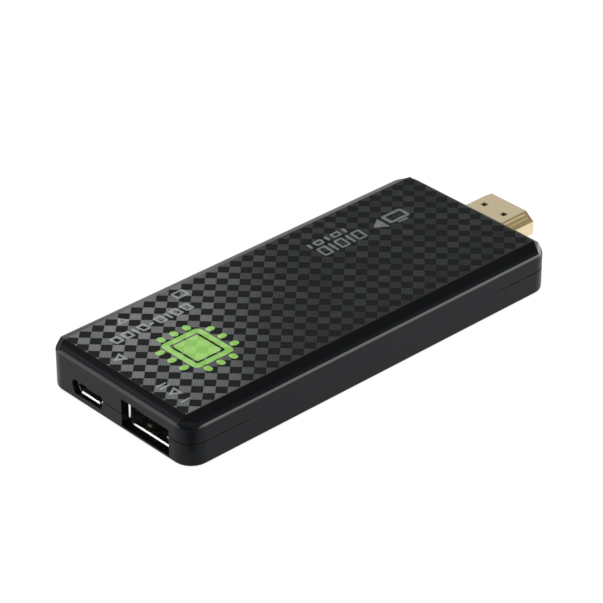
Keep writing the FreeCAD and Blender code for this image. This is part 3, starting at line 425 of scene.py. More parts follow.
def make_world():
    """A studio that is white to the eye and softer as light."""
    world = bpy.data.worlds.new("studio")
    bpy.context.scene.world = world
    world.use_nodes = True
    tree = world.node_tree
    tree.nodes.clear()
    out = tree.nodes.new("ShaderNodeOutputWorld")
    mix = tree.nodes.new("ShaderNodeMixShader")
    seen = tree.nodes.new("ShaderNodeBackground")
    seen.inputs["Color"].default_value = (1, 1, 1, 1)
    around = tree.nodes.new("ShaderNodeBackground")
    around.inputs["Color"].default_value = (*AROUND_COLOUR, 1)
    tree.links.new(shows_background(tree), mix.inputs["Fac"])
    tree.links.new(around.outputs["Background"], mix.inputs[1])
    tree.links.new(seen.outputs["Background"], mix.inputs[2])
    tree.links.new(mix.outputs["Shader"], out.inputs["Surface"])


def place_mesh(name, bm):
    """An object of a finished mesh, linked to the scene."""
    mesh = bpy.data.meshes.new(name)
    bm.to_mesh(mesh)
    bm.free()
    item = bpy.data.objects.new(name, mesh)
    bpy.context.scene.collection.objects.link(item)
    return item


def only_in_reflections(item):
    """Let a studio piece show in reflections and nowhere else."""
    item.visible_camera = False
    item.visible_diffuse = False
    item.visible_shadow = False


def bare_material(name):
    """A material with an output node alone; returns it, its tree and that node."""
    material = bpy.data.materials.new(name)
    material.use_nodes = True
    tree = material.node_tree
    tree.nodes.clear()
    return material, tree, tree.nodes.new("ShaderNodeOutputMaterial")


def make_ceiling():
    """The studio's dark ceiling, which only glossy surfaces see; it fades to white at its rim."""
    bm = bmesh.new()
    bmesh.ops.create_uvsphere(bm, u_segments=48, v_segments=32, radius=CEILING_RADIUS)
    below = [vert for vert in bm.verts if vert.co.z < CEILING_FOOT * CEILING_RADIUS]
    bmesh.ops.delete(bm, geom=below, context="VERTS")
    for face in bm.faces:
        face.smooth = True
    ceiling = place_mesh("studio_ceiling", bm)
    only_in_reflections(ceiling)
    material, tree, out = bare_material("dark_ceiling")
    glow = tree.nodes.new("ShaderNodeEmission")
    split = tree.nodes.new("ShaderNodeSeparateXYZ")
    ramp = tree.nodes.new("ShaderNodeValToRGB")
    stops = ramp.color_ramp.elements
    ready = len(stops)
    for index, (position, colour) in enumerate(CEILING_STOPS):
        stop = stops[index] if index < ready else stops.new(position)
        stop.position = position
        stop.color = (*colour, 1)
    tree.links.new(surface_point(tree), split.inputs["Vector"])
    height = calculate(tree, "DIVIDE", split.outputs["Z"], CEILING_RADIUS)
    tree.links.new(height, ramp.inputs["Fac"])
    tree.links.new(ramp.outputs["Color"], glow.inputs["Color"])
    tree.links.new(glow.outputs["Emission"], out.inputs["Surface"])
    ceiling.data.materials.append(material)


def dark_card(name, low, high, fade, cover=1.0):
    """A dark card lying on the floor between two corners, for reflections alone; its edges are soft."""
    bm = bmesh.new()
    corners = ((low[0], low[1]), (high[0], low[1]), (high[0], high[1]), (low[0], high[1]))
    bm.faces.new([bm.verts.new((x, y, 0.0)) for x, y in corners])
    card = place_mesh(name, bm)
    only_in_reflections(card)
    material, tree, out = bare_material(name)
    mix = tree.nodes.new("ShaderNodeMixShader")
    clear = tree.nodes.new("ShaderNodeBsdfTransparent")
    dark = tree.nodes.new("ShaderNodeEmission")
    dark.inputs["Strength"].default_value = CARD_LEVEL
    split = tree.nodes.new("ShaderNodeSeparateXYZ")
    tree.links.new(surface_point(tree), split.inputs["Vector"])
    nearest = None
    for axis, socket in enumerate((split.outputs["X"], split.outputs["Y"])):
        for first, second in ((socket, low[axis]), (high[axis], socket)):
            inside = calculate(tree, "SUBTRACT", first, second)
            nearest = inside if nearest is None else calculate(tree, "MINIMUM", nearest, inside)
    shown = calculate(tree, "MULTIPLY", soft_step(tree, nearest, 0.0, fade), cover)
    tree.links.new(shown, mix.inputs["Fac"])
    tree.links.new(clear.outputs["BSDF"], mix.inputs[1])
    tree.links.new(dark.outputs["Emission"], mix.inputs[2])
    tree.links.new(mix.outputs["Shader"], out.inputs["Surface"])
    card.data.materials.append(material)


def make_floor():
    """A plain white floor that keeps a faint shadow."""
    bm = bmesh.new()
    bmesh.ops.create_grid(bm, x_segments=8, y_segments=8, size=FLOOR_SIZE)
    floor = place_mesh("studio_floor", bm)
    floor.location.z = -FLOOR_DROP
    material, tree, out = bare_material("white_floor")
    mix = tree.nodes.new("ShaderNodeMixShader")
    matt = tree.nodes.new("ShaderNodeBsdfDiffuse")
    matt.inputs["Color"].default_value = (FLOOR_PAINT, FLOOR_PAINT, FLOOR_PAINT, 1)
    glow = tree.nodes.new("ShaderNodeEmission")
    glow.inputs["Color"].default_value = (1, 1, 1, 1)
    glow.inputs["Strength"].default_value = FLOOR_GLOW
    shade = tree.nodes.new("ShaderNodeBsdfDiffuse")
    shade.inputs["Color"].default_value = (FLOOR_SHADE, FLOOR_SHADE, FLOOR_SHADE, 1)
    both = tree.nodes.new("ShaderNodeAddShader")
    link = tree.links.new
    link(glow.outputs["Emission"], both.inputs[0])
    link(shade.outputs["BSDF"], both.inputs[1])
    link(shows_background(tree), mix.inputs["Fac"])
    link(matt.outputs["BSDF"], mix.inputs[1])
    link(both.outputs["Shader"], mix.inputs[2])
    link(mix.outputs["Shader"], out.inputs["Surface"])
    floor.data.materials.append(material)


def build_grain_group():
    """Moulding grain: a height for bump, and a slow drift of tone and gloss."""
    group, start, end = new_group(
        "moulding_grain",
        (("Point", "Vector", None), ("Grain", "Float", 9000.0), ("Drift", "Float", 60.0)),
        (("Height", "Float"), ("Tone", "Float")),
    )
    for output, source, detail in (("Height", "Grain", 3.0), ("Tone", "Drift", 4.0)):
        cloud = group.nodes.new("ShaderNodeTexNoise")
        cloud.inputs["Detail"].default_value = detail
        group.links.new(start.outputs["Point"], cloud.inputs["Vector"])
        group.links.new(start.outputs[source], cloud.inputs["Scale"])
        group.links.new(cloud.outputs["Fac"], end.inputs[output])
    return group


def build_brushing_group():
    """Fine parallel scratches along one direction, for rolled and plated sheet."""
    group, start, end = new_group(
        "fine_brushing",
        (("Point", "Vector", None), ("Stretch", "Vector", (400.0, 14000.0, 14000.0))),
        (("Height", "Float"), ("Streak", "Float")),
    )
    scaled = group.nodes.new("ShaderNodeVectorMath")
    scaled.operation = "MULTIPLY"
    group.links.new(start.outputs["Point"], scaled.inputs[0])
    group.links.new(start.outputs["Stretch"], scaled.inputs[1])
    for output, detail in (("Height", 2.0), ("Streak", 5.0)):
        cloud = group.nodes.new("ShaderNodeTexNoise")
        cloud.inputs["Scale"].default_value = 1.0
        cloud.inputs["Detail"].default_value = detail
        group.links.new(scaled.outputs["Vector"], cloud.inputs["Vector"])
        group.links.new(cloud.outputs["Fac"], end.inputs[output])
    return group


def build_wear_group():
    """A mask of the worn outward edges of a piece."""
    group, start, end = new_group("edge_wear", (("Sharpness", "Float", 12.0),), (("Mask", "Float"),))
    geometry = group.nodes.new("ShaderNodeNewGeometry")
    above = calculate(group, "SUBTRACT", geometry.outputs["Pointiness"], 0.5)
    scaled = calculate(group, "MULTIPLY", above, start.outputs["Sharpness"])
    mask = calculate(group, "MINIMUM", calculate(group, "MAXIMUM", scaled, 0.0), 1.0)
    group.links.new(mask, end.inputs["Mask"])
    return group


def build_check_group():
    """The printed check: which squares are pale, their fine hatch, and a chance tint for each."""
    group, start, end = new_group(
        "printed_check",
        (("Point", "Vector", None), ("Side", "Float", CHECK_SIDE)),
        (("Pale", "Float"), ("Hatch", "Float"), ("Chance", "Float"), ("Hue", "Float")),
    )
    split = group.nodes.new("ShaderNodeSeparateXYZ")
    group.links.new(start.outputs["Point"], split.inputs["Vector"])
    x, y = split.outputs["X"], split.outputs["Y"]
    turned = math.sqrt(0.5)
    along = calculate(group, "MULTIPLY", calculate(group, "ADD", x, y), turned)
    across = calculate(group, "MULTIPLY", calculate(group, "SUBTRACT", y, x), turned)
    steps, parts = [], []
    for distance, offset in ((along, CHECK_START[0]), (across, CHECK_START[1])):
        place = calculate(group, "DIVIDE", distance, start.outputs["Side"])
        place = calculate(group, "ADD", place, offset)
        steps.append(calculate(group, "FLOOR", place))
        parts.append(calculate(group, "FRACT", place))
    parity = calculate(group, "FLOORED_MODULO", calculate(group, "ADD", steps[0], steps[1]), 2.0)
    pale = calculate(group, "SUBTRACT", 1.0, parity)
    group.links.new(pale, end.inputs["Pale"])
    square = group.nodes.new("ShaderNodeCombineXYZ")
    group.links.new(steps[0], square.inputs["X"])
    group.links.new(steps[1], square.inputs["Y"])
    chance = group.nodes.new("ShaderNodeTexWhiteNoise")
    chance.noise_dimensions = "2D"
    group.links.new(square.outputs["Vector"], chance.inputs["Vector"])
    group.links.new(chance.outputs["Value"], end.inputs["Chance"])
    colour = group.nodes.new("ShaderNodeSeparateColor")
    group.links.new(chance.outputs["Color"], colour.inputs["Color"])
    group.links.new(colour.outputs["Green"], end.inputs["Hue"])
    waves = []
    for part in parts:
        angle = calculate(group, "MULTIPLY", part, 2 * math.pi * HATCH_LINES)
        waves.append(calculate(group, "MULTIPLY_ADD", calculate(group, "COSINE", angle), 0.5, 0.5))
    turn_over = calculate(group, "GREATER_THAN", chance.outputs["Value"], HATCH_TURNED)
    swing = group.nodes.new("ShaderNodeMix")
    group.links.new(turn_over, swing.inputs["Factor"])
    group.links.new(waves[0], swing.inputs[2])
    group.links.new(waves[1], swing.inputs[3])
    group.links.new(swing.outputs[0], end.inputs["Hatch"])
    return group


def build_seam_group():
    """The fine gap where the two shells meet, as a mask for its groove and its painted shade; it dips
    between the sockets and closes mid-length.
    """
    group, start, end = new_group("shell_seam", (("Point", "Vector", None),), (("Gap", "Float"),))
    split = group.nodes.new("ShaderNodeSeparateXYZ")
    group.links.new(start.outputs["Point"], split.inputs["Vector"])
    x, y, z = (split.outputs[axis] for axis in "XYZ")
    at_end = calculate(group, "LESS_THAN", x, SEAM_DIP_END)
    in_dip = calculate(group, "MULTIPLY", calculate(group, "GREATER_THAN", y, SEAM_DIP[0]), at_end)
    rise = calculate(group, "DIVIDE", calculate(group, "SUBTRACT", y, SEAM_DIP[1]), SEAM_SLOPE_RUN)
    rise = calculate(group, "MINIMUM", calculate(group, "MAXIMUM", rise, 0.0), 1.0)
    drop = calculate(group, "MULTIPLY", calculate(group, "SUBTRACT", 1.0, rise), SEAM_DROP)
    level = calculate(group, "SUBTRACT", SEAM_HEIGHT, calculate(group, "MULTIPLY", drop, in_dip))
    away = calculate(group, "ABSOLUTE", calculate(group, "SUBTRACT", z, level))
    wider = calculate(group, "MULTIPLY_ADD", soft_step(group, x, *SEAM_WIDENS), SEAM_WIDENING, 1.0)
    away = calculate(group, "DIVIDE", away, wider)
    line = calculate(group, "SUBTRACT", 1.0, soft_step(group, away, SEAM_HALF_GAP, SEAM_EDGE))
    opened = soft_step(group, calculate(group, "ABSOLUTE", x), *SEAM_OPENS)
    share = calculate(group, "MULTIPLY_ADD", opened, 1.0 - SEAM_LEAST, SEAM_LEAST)
    by_port = calculate(group, "MULTIPLY", calculate(group, "GREATER_THAN", y, SEAM_DIP[1]), at_end)
    by_port = calculate(group, "MULTIPLY_ADD", by_port, -SEAM_PORT_LOSS, 1.0)
    share = calculate(group, "MULTIPLY", share, by_port)
    group.links.new(calculate(group, "MULTIPLY", line, share), end.inputs["Gap"])
    return group


def build_shoulder_group():
    """A mask of the casing's polished shoulder, and a crown on the socket end's chamfers, in metres."""
    group, start, end = new_group(
        "casing_shoulder", (("Point", "Vector", None),), (("Height", "Float"), ("Polish", "Float"))
    )
    split = group.nodes.new("ShaderNodeSeparateXYZ")
    group.links.new(start.outputs["Point"], split.inputs["Vector"])
    height = split.outputs["Z"]
    at_end = soft_step(group, calculate(group, "MULTIPLY", split.outputs["X"], -1.0), *CROWN_SPREAD)
    above = calculate(group, "SUBTRACT", 1.0, soft_step(group, height, *POLISH_STOP))
    polish = calculate(group, "MULTIPLY", soft_step(group, height, *POLISH_START), above)
    duller = calculate(group, "MULTIPLY_ADD", at_end, -POLISH_LOSS, 1.0)
    group.links.new(calculate(group, "MULTIPLY", polish, duller), end.inputs["Polish"])
    below = calculate(group, "SUBTRACT", CROWN_TOP, height)
    below = calculate(group, "MINIMUM", calculate(group, "MAXIMUM", below, 0.0), CROWN_DEPTH)
    crown = calculate(group, "MULTIPLY", calculate(group, "MULTIPLY", below, below), -CROWN_CURVE)
    group.links.new(calculate(group, "MULTIPLY", crown, at_end), end.inputs["Height"])
    return group


GRAIN = build_grain_group()
BRUSHING = build_brushing_group()
WEAR = build_wear_group()
CHECK = build_check_group()
SEAM = build_seam_group()
SHOULDER = build_shoulder_group()


def new_material(name, roughness, metallic=0.0, specular=0.5):
    """A material with one Principled shader; returns it, its tree, the shader and the surface point."""
    material = bpy.data.materials.new(name)
    material.use_nodes = True
    tree = material.node_tree
    shader = next(node for node in tree.nodes if node.type == "BSDF_PRINCIPLED")
    shader.inputs["Roughness"].default_value = roughness
    shader.inputs["Metallic"].default_value = metallic
    shader.inputs["Specular IOR Level"].default_value = specular
    return material, tree, shader, surface_point(tree)


def place_group(tree, group, **links):
    """A node group in a material; keyword values are sockets or numbers for its inputs."""
    node = tree.nodes.new("ShaderNodeGroup")
    node.node_tree = group
    for label, value in links.items():
        socket = node.inputs[label]
        if isinstance(value, (int, float, tuple)):
            socket.default_value = value
        else:
            tree.links.new(value, socket)
    return node


def bump(tree, shader, height, strength, distance, over=None):
    """Feed a height into the shader's normal, over an earlier bump if one is given."""
    node = tree.nodes.new("ShaderNodeBump")
    node.inputs["Strength"].default_value = strength
    node.inputs["Distance"].default_value = distance
    tree.links.new(height, node.inputs["Height"])
    if over is not None:
        tree.links.new(over.outputs["Normal"], node.inputs["Normal"])
    tree.links.new(node.outputs["Normal"], shader.inputs["Normal"])
    return node


def moulded(name, colour, roughness, grain=9000.0, relief=0.15, specular=0.5, tone_swing=0.25):
    """Moulded plastic, resin or ceramic: fine grain, and a slow drift of tone and gloss."""
    material, tree, shader, point = new_material(name, roughness, specular=specular)
    skin = place_group(tree, GRAIN, Point=point, Grain=grain)
    darker = tuple(channel * (1 - tone_swing) for channel in colour)
    paler = tuple(min(1.0, channel * (1 + tone_swing)) for channel in colour)
    tone = blend_colours(tree, skin.outputs["Tone"], darker, paler)
    tree.links.new(tone, shader.inputs["Base Color"])
    least = roughness - MOULDED_SWING / 2
    gloss = calculate(tree, "MULTIPLY_ADD", skin.outputs["Tone"], MOULDED_SWING, least)
    tree.links.new(gloss, shader.inputs["Roughness"])
    bump(tree, shader, skin.outputs["Height"], relief, GRAIN_DEPTH)
    return material


def sheet_metal(name, colour, roughness, stretch, worn=(0.95, 0.93, 0.88), relief=0.12):
    """Rolled or plated metal with fine brushing and brighter worn edges."""
    material, tree, shader, point = new_material(name, roughness, metallic=1.0)
    lines = place_group(tree, BRUSHING, Point=point, Stretch=stretch)
    edges = place_group(tree, WEAR)
    darker = tuple(channel * STREAK_SHADE for channel in colour)
    plated = blend_colours(tree, lines.outputs["Streak"], darker, colour)
    share = calculate(tree, "MULTIPLY", edges.outputs["Mask"], WEAR_SHARE)
    tree.links.new(blend_colours(tree, share, plated, worn), shader.inputs["Base Color"])
    least = roughness - BRUSHED_SWING / 2
    gloss = calculate(tree, "MULTIPLY_ADD", lines.outputs["Streak"], BRUSHED_SWING, least)
    tree.links.new(gloss, shader.inputs["Roughness"])
    bump(tree, shader, lines.outputs["Height"], relief, BRUSHING_DEPTH)
    return material


def label_material():
    """The printed sheet: near-black squares, and grey hatched ones with a metallic ink."""
    material, tree, shader, point = new_material("checked_label", 0.28, specular=0.02)
    check = place_group(tree, CHECK, Point=point)
    pale, hatch, chance = check.outputs["Pale"], check.outputs["Hatch"], check.outputs["Chance"]
    level = calculate(tree, "MULTIPLY_ADD", chance, *CHANCE_LEVEL)
    level = calculate(tree, "MULTIPLY", level, calculate(tree, "MULTIPLY_ADD", hatch, *HATCH_LEVEL))
    cool_or_warm = blend_colours(tree, check.outputs["Hue"], *PALE_INKS)
    ink = tree.nodes.new("ShaderNodeVectorMath")
    ink.operation = "SCALE"
    tree.links.new(cool_or_warm, ink.inputs[0])
    tree.links.new(level, ink.inputs["Scale"])
    black = blend_colours(tree, hatch, *BLACK_INKS)
    printed = blend_colours(tree, pale, black, ink.outputs["Vector"])
    tree.links.new(printed, shader.inputs["Base Color"])
    tree.links.new(calculate(tree, "MULTIPLY", pale, PALE_METAL), shader.inputs["Metallic"])
    gloss = calculate(tree, "MULTIPLY_ADD", pale, *PALE_GLOSS)
    tree.links.new(gloss, shader.inputs["Roughness"])
    bump(tree, shader, hatch, HATCH_RELIEF, BRUSHING_DEPTH)
    return material


def ink_material(name, colour, paler, metallic, roughness):
    """Ink printed over the check, which shows through it faintly."""
    material, tree, shader, point = new_material(name, roughness, metallic=metallic)
    check = place_group(tree, CHECK, Point=point)
    share = calculate(tree, "MULTIPLY_ADD", check.outputs["Pale"], *CHECK_SHOWS)
    share = calculate(tree, "MULTIPLY_ADD", check.outputs["Chance"], CHANCE_SHOWS, share)
    tree.links.new(blend_colours(tree, share, colour, paler), shader.inputs["Base Color"])
    bump(tree, shader, check.outputs["Hatch"], 0.05, BRUSHING_DEPTH)
    return material


def casing_material():
    """Black moulded plastic: a fine grain, a polished shoulder, and the gap between its halves, with
    painted shade in it.
    """
    roughness = 0.30
    material, tree, shader, point = new_material("casing_plastic", roughness, specular=0.15)
    shader.inputs["Specular Tint"].default_value = (*CASING_TINT, 1)
    shader.inputs["Coat IOR"].default_value = POLISH_INDEX
    shader.inputs["Coat Roughness"].default_value = POLISH_ROUGHNESS
    shader.inputs["Coat Tint"].default_value = (*POLISH_TINT, 1)
    skin = place_group(tree, GRAIN, Point=point, Grain=14000.0, Drift=45.0)
    gap = place_group(tree, SEAM, Point=point).outputs["Gap"]
    shoulder = place_group(tree, SHOULDER, Point=point)
    plastic = blend_colours(tree, skin.outputs["Tone"], *CASING_COLOURS)
    # The seam gap is mixed to near-black: painted shade in place of the shadow inside the gap.
    tree.links.new(blend_colours(tree, gap, plastic, GAP_SHADE_COLOUR), shader.inputs["Base Color"])
    least = roughness - MOULDED_SWING / 2
    gloss = calculate(tree, "MULTIPLY_ADD", skin.outputs["Tone"], MOULDED_SWING, least)
    tree.links.new(calculate(tree, "MAXIMUM", gloss, gap), shader.inputs["Roughness"])
    tree.links.new(shoulder.outputs["Polish"], shader.inputs["Coat Weight"])
    crown = bump(tree, shader, shoulder.outputs["Height"], 1.0, 1.0)
    height = calculate(tree, "MULTIPLY_ADD", gap, GAP_RELIEF, skin.outputs["Height"])
    bump(tree, shader, height, CASING_RELIEF, GRAIN_DEPTH, over=crown)
    return material


def gilt_material():
    """Gilt sheet with fine brushing, and painted shade that darkens its sloped faces."""
    material, tree, shader, point = new_material("gilt_plate", 0.34, metallic=0.40)
    lines = place_group(tree, BRUSHING, Point=point, Stretch=(14000.0, 500.0, 14000.0))
    split = tree.nodes.new("ShaderNodeSeparateXYZ")
    facing = tree.nodes.new("ShaderNodeTexCoord").outputs["Normal"]
    tree.links.new(facing, split.inputs["Vector"])
    sideways = calculate(tree, "ABSOLUTE", split.outputs["Y"])
    upwards = calculate(tree, "ABSOLUTE", split.outputs["Z"])
    sideways = soft_step(tree, sideways, *SLOPE_SHADE_SIDEWAYS)
    slope_shade = calculate(tree, "MULTIPLY", sideways, soft_step(tree, upwards, *SLOPE_SHADE_UPWARDS))
    streak = lines.outputs["Streak"]
    plated = blend_colours(tree, streak, *GILT_COLOURS)
    # Faces turned to a slope are mixed to a darker colour: painted shade by which way a face turns.
    tree.links.new(blend_colours(tree, slope_shade, plated, SLOPE_SHADE_COLOUR), shader.inputs["Base Color"])
    gloss = calculate(tree, "MULTIPLY_ADD", streak, BRUSHED_SWING, GILT_LEAST_ROUGHNESS)
    tree.links.new(gloss, shader.inputs["Roughness"])
    bump(tree, shader, lines.outputs["Height"], 0.12, BRUSHING_DEPTH)
    return material


def board_material():
    """Green lacquer over a faint pattern of tracks."""
    material, tree, shader, point = new_material("lacquered_board", 0.35)
    skin = place_group(tree, GRAIN, Point=point, Grain=2500.0, Drift=350.0)
    cells = tree.nodes.new("ShaderNodeTexVoronoi")
    cells.distance = "CHEBYCHEV"
    cells.inputs["Scale"].default_value = TRACK_CELLS
    tree.links.new(point, cells.inputs["Vector"])
    track = calculate(tree, "GREATER_THAN", cells.outputs["Distance"], TRACK_EDGE)
    lacquer = blend_colours(tree, skin.outputs["Tone"], *LACQUER_COLOURS)
    tree.links.new(blend_colours(tree, track, lacquer, TRACK_COLOUR), shader.inputs["Base Color"])
    bump(tree, shader, skin.outputs["Height"], 0.2, GRAIN_DEPTH)
    return material


MATERIALS = {
    "casing_plastic": casing_material(),
    "checked_label": label_material(),
    "label_cut_edge": moulded("label_cut_edge", (0.030, 0.030, 0.030), 0.5, specular=0.2),
    "green_ink": ink_material(
        "green_ink", (0.250, 0.600, 0.075), (0.430, 0.760, 0.200), metallic=0.0, roughness=0.4
    ),
    "silver_ink": ink_material(
        "silver_ink", (0.40, 0.42, 0.43), (0.54, 0.55, 0.55), metallic=0.75, roughness=0.42
    ),
    "gilt_plate": gilt_material(),
    "socket_steel": sheet_metal(
        "socket_steel", (0.70, 0.69, 0.66), 0.28, (500.0, 9000.0, 9000.0), relief=0.04
    ),
    "contact_gold": sheet_metal("contact_gold", (0.62, 0.45, 0.19), 0.25, (500.0, 14000.0, 14000.0)),
    "lip_steel": sheet_metal(
        "lip_steel", (0.90, 0.90, 0.88), 0.20, (500.0, 4000.0, 4000.0), relief=0.0
    ),
    "plain_steel": sheet_metal("plain_steel", (0.50, 0.50, 0.50), 0.35, (9000.0, 9000.0, 9000.0)),
    "plate_aluminium": sheet_metal(
        "plate_aluminium", (0.78, 0.78, 0.79), 0.38, (300.0, 9000.0, 9000.0)
    ),
    "black_moulding": moulded("black_moulding", (0.010, 0.010, 0.010), 0.5),
    "chip_resin": moulded("chip_resin", (0.020, 0.020, 0.022), 0.55, grain=12000.0, relief=0.3),
    "pad_rubber": moulded("pad_rubber", (0.36, 0.41, 0.46), 0.7, grain=4000.0, relief=0.4),
    "ceramic_body": moulded("ceramic_body", (0.46, 0.33, 0.20), 0.45),
    "ferrite": moulded("ferrite", (0.045, 0.045, 0.048), 0.6, relief=0.4),
    "switch_plastic": moulded("switch_plastic", (0.62, 0.60, 0.54), 0.45),
    "light_cap": moulded("light_cap", (0.75, 0.78, 0.80), 0.2, tone_swing=0.1),
    "lacquered_board": board_material(),
}

NODE_MATERIALS = {
    "casing_plastic": ("bottom_shell", "top_shell"),
    "checked_label": ("top_label",),
    "gilt_plate": ("video_plug_shell",),
    "socket_steel": (
        "host_socket_shell",
        "power_socket_shell",
        "data_socket_shell",
        "card_socket_cover",
        "radio_shield",
        "crystals",
        "recovery_switch_cover",
    ),
    "contact_gold": (
        "video_plug_contacts",
        "host_socket_contacts",
        "power_socket_contacts",
        "data_socket_contacts",
        "card_contacts",
    ),
    "plain_steel": ("board_screws", "card_spring", "recovery_dome"),
    "plate_aluminium": ("heat_spreader",),
    "black_moulding": (
        "video_plug_insulator",
        "host_socket_insulator",
        "power_socket_insulator",
        "data_socket_insulator",
        "card_socket_base",
        "card_slider",
        "recovery_switch_body",
    ),
    "chip_resin": ("processor", "memory_chips", "flash_chip", "power_manager", "resistors"),
    "pad_rubber": ("thermal_pad",),
    "ceramic_body": ("capacitors", "chip_antenna"),
    "ferrite": ("power_inductors",),
    "switch_plastic": ("recovery_plunger",),
    "light_cap": ("status_led",),
    "lacquered_board": ("main_board", "radio_board"),
}


def dress_nodes():
    """Give every CAD node its material."""
    for material, members in NODE_MATERIALS.items():
        for name in members:
            mesh = nodes[name].data
            if not mesh.materials:
                mesh.materials.append(None)
            for index in range(len(mesh.materials)):
                mesh.materials[index] = MATERIALS[material]


def rounded_corner_points(centre, size, radius, corner_steps=6):
    """The outline of a rounded rectangle, anticlockwise, in millimetres."""
    points = []
    radius = min(radius, size[0] / 2, size[1] / 2)
    for quarter, (x_side, y_side) in enumerate(((1, 1), (-1, 1), (-1, -1), (1, -1))):
        middle_x = centre[0] + x_side * (size[0] / 2 - radius)
        middle_y = centre[1] + y_side * (size[1] / 2 - radius)
        for step in range(corner_steps + 1):
            angle = math.pi / 2 * (quarter + step / corner_steps)
            points.append((middle_x + radius * math.cos(angle), middle_y + radius * math.sin(angle)))
    return points


def leaned(points, lean, base_y):
    """Slide an outline sideways in proportion to its height over a base line."""
    return [(x + lean * (y - base_y), y) for x, y in points]


def add_patch(bm, points):
    """One thin raised patch of ink with the given outline, its top just under the part's height."""
    top = [bm.verts.new((x * MM, y * MM, INK_TOP)) for x, y in points]
    foot = [bm.verts.new((x * MM, y * MM, SHEET_TOP)) for x, y in points]
    bm.faces.new(top)
    for index in range(len(points)):
        after = (index + 1) % len(points)
        bm.faces.new((foot[index], foot[after], top[after], top[index]))


def add_frame(bm, outer, inner):
    """A thin raised band of ink between two outlines that have the same number of points."""
    rings = []
    for outline, height in ((outer, INK_TOP), (inner, INK_TOP), (outer, SHEET_TOP), (inner, SHEET_TOP)):
        rings.append([bm.verts.new((x * MM, y * MM, height)) for x, y in outline])
    outer_top, inner_top, outer_foot, inner_foot = rings
    for index in range(len(outer)):
        after = (index + 1) % len(outer)
        bm.faces.new((outer_top[index], outer_top[after], inner_top[after], inner_top[index]))
        bm.faces.new((outer_foot[index], outer_foot[after], outer_top[after], outer_top[index]))
        bm.faces.new((inner_top[index], inner_top[after], inner_foot[after], inner_foot[index]))


def smooth_by_angle(bm, limit=40.0):
    """Smooth shading with crisp edges above an angle."""
    for face in bm.faces:
        face.smooth = True
    for edge in bm.edges:
        edge.smooth = len(edge.link_faces) == 2 and edge.calc_face_angle(0.0) < math.radians(limit)


def finish_piece(name, bm, material, smooth=False, body="stick"):
    """Turn a mesh into a named piece that rides on a body."""
    bmesh.ops.recalc_face_normals(bm, faces=bm.faces)
    if smooth:
        smooth_by_angle(bm)
    piece = place_mesh(name, bm)
    piece.data.materials.append(MATERIALS[material])
    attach(piece, body)
    return piece


def make_label():
    """The printed sheet, a hair thinner than the CAD one so that the ink stands within its height."""
    low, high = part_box("top_label")
    bm = bmesh.new()
    bmesh.ops.create_cube(bm, size=1.0)
    for vert in bm.verts:
        for axis in range(3):
            vert.co[axis] = high[axis] if vert.co[axis] > 0 else low[axis]
        if vert.co.z > (low[2] + high[2]) / 2:
            vert.co.z = SHEET_TOP
    edges = [edge for edge in bm.edges if all(vert.co.z > SHEET_TOP - 1e-6 for vert in edge.verts)]
    bmesh.ops.bevel(bm, geom=edges, offset=LABEL_EDGE_ROUND, segments=3, profile=0.5, affect="EDGES")
    for face in bm.faces:
        face.normal_update()
        face.material_index = int(abs(face.normal.z) < CUT_EDGE_SLOPE)
    sheet = finish_piece("printed_label", bm, "checked_label")
    sheet.data.materials.append(MATERIALS["label_cut_edge"])
    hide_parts("top_label")


def add_rounded_frame(bm, centre, outer, inner, radii):
    """A raised band between two rounded rectangles round one centre."""
    add_frame(
        bm,
        rounded_corner_points(centre, outer, radii[0]),
        rounded_corner_points(centre, inner, radii[1]),
    )


def make_emblem():
    """The green emblem: a chip seen from above, with pins on its four sides."""
    bm = bmesh.new()
    middle_x, middle_y = EMBLEM_CENTRE
    width, height = EMBLEM_BODY
    outer, middle, inner = EMBLEM_RADII
    ring = (width - 2 * EMBLEM_RING, height - 2 * EMBLEM_RING)
    core = (ring[0] - 2 * EMBLEM_GAP, ring[1] - 2 * EMBLEM_GAP)
    add_rounded_frame(bm, EMBLEM_CENTRE, EMBLEM_BODY, ring, (outer, middle))
    add_patch(bm, rounded_corner_points(EMBLEM_CENTRE, core, inner))
    for side in (-1, 1):
        for share in (-EMBLEM_PIN_SPREAD, 0.0, EMBLEM_PIN_SPREAD):
            reach = width / 2 + EMBLEM_PIN_GAP + EMBLEM_PIN[0] / 2
            place = (middle_x + side * reach, middle_y + share * height)
            add_patch(bm, rounded_corner_points(place, EMBLEM_PIN, EMBLEM_PIN[1] / 2))
            reach = height / 2 + EMBLEM_PIN_GAP + EMBLEM_PIN[0] / 2
            place = (middle_x + share * width, middle_y + side * reach)
            add_patch(bm, rounded_corner_points(place, EMBLEM_PIN[::-1], EMBLEM_PIN[1] / 2))
    finish_piece("chip_emblem", bm, "green_ink")


def add_cells(bm, start, base_y, height, widths, gap, lean, stroke):
    """A row of cells from a starting x, standing on a base line: outlined if wide, else solid bars."""
    x = start
    for width in widths:
        centre = (x + width / 2, base_y + height / 2)
        outline = rounded_corner_points(centre, (width, height), CELL_RADII[0], 4)
        if width > 3 * stroke:
            hollow = (width - 2 * stroke, height - 2 * stroke)
            inner = rounded_corner_points(centre, hollow, CELL_RADII[1], 4)
            add_frame(bm, leaned(outline, lean, base_y), leaned(inner, lean, base_y))
        else:
            add_patch(bm, leaned(outline, lean, base_y))
        x += width + gap


def add_pointer(bm, corners):
    """A hollow triangle that points to a port."""
    middle = [sum(corner[axis] for corner in corners) / 3 for axis in (0, 1)]
    inner = [
        tuple(middle[axis] + POINTER_HOLLOW * (corner[axis] - middle[axis]) for axis in (0, 1))
        for corner in corners
    ]
    add_frame(bm, corners, inner)


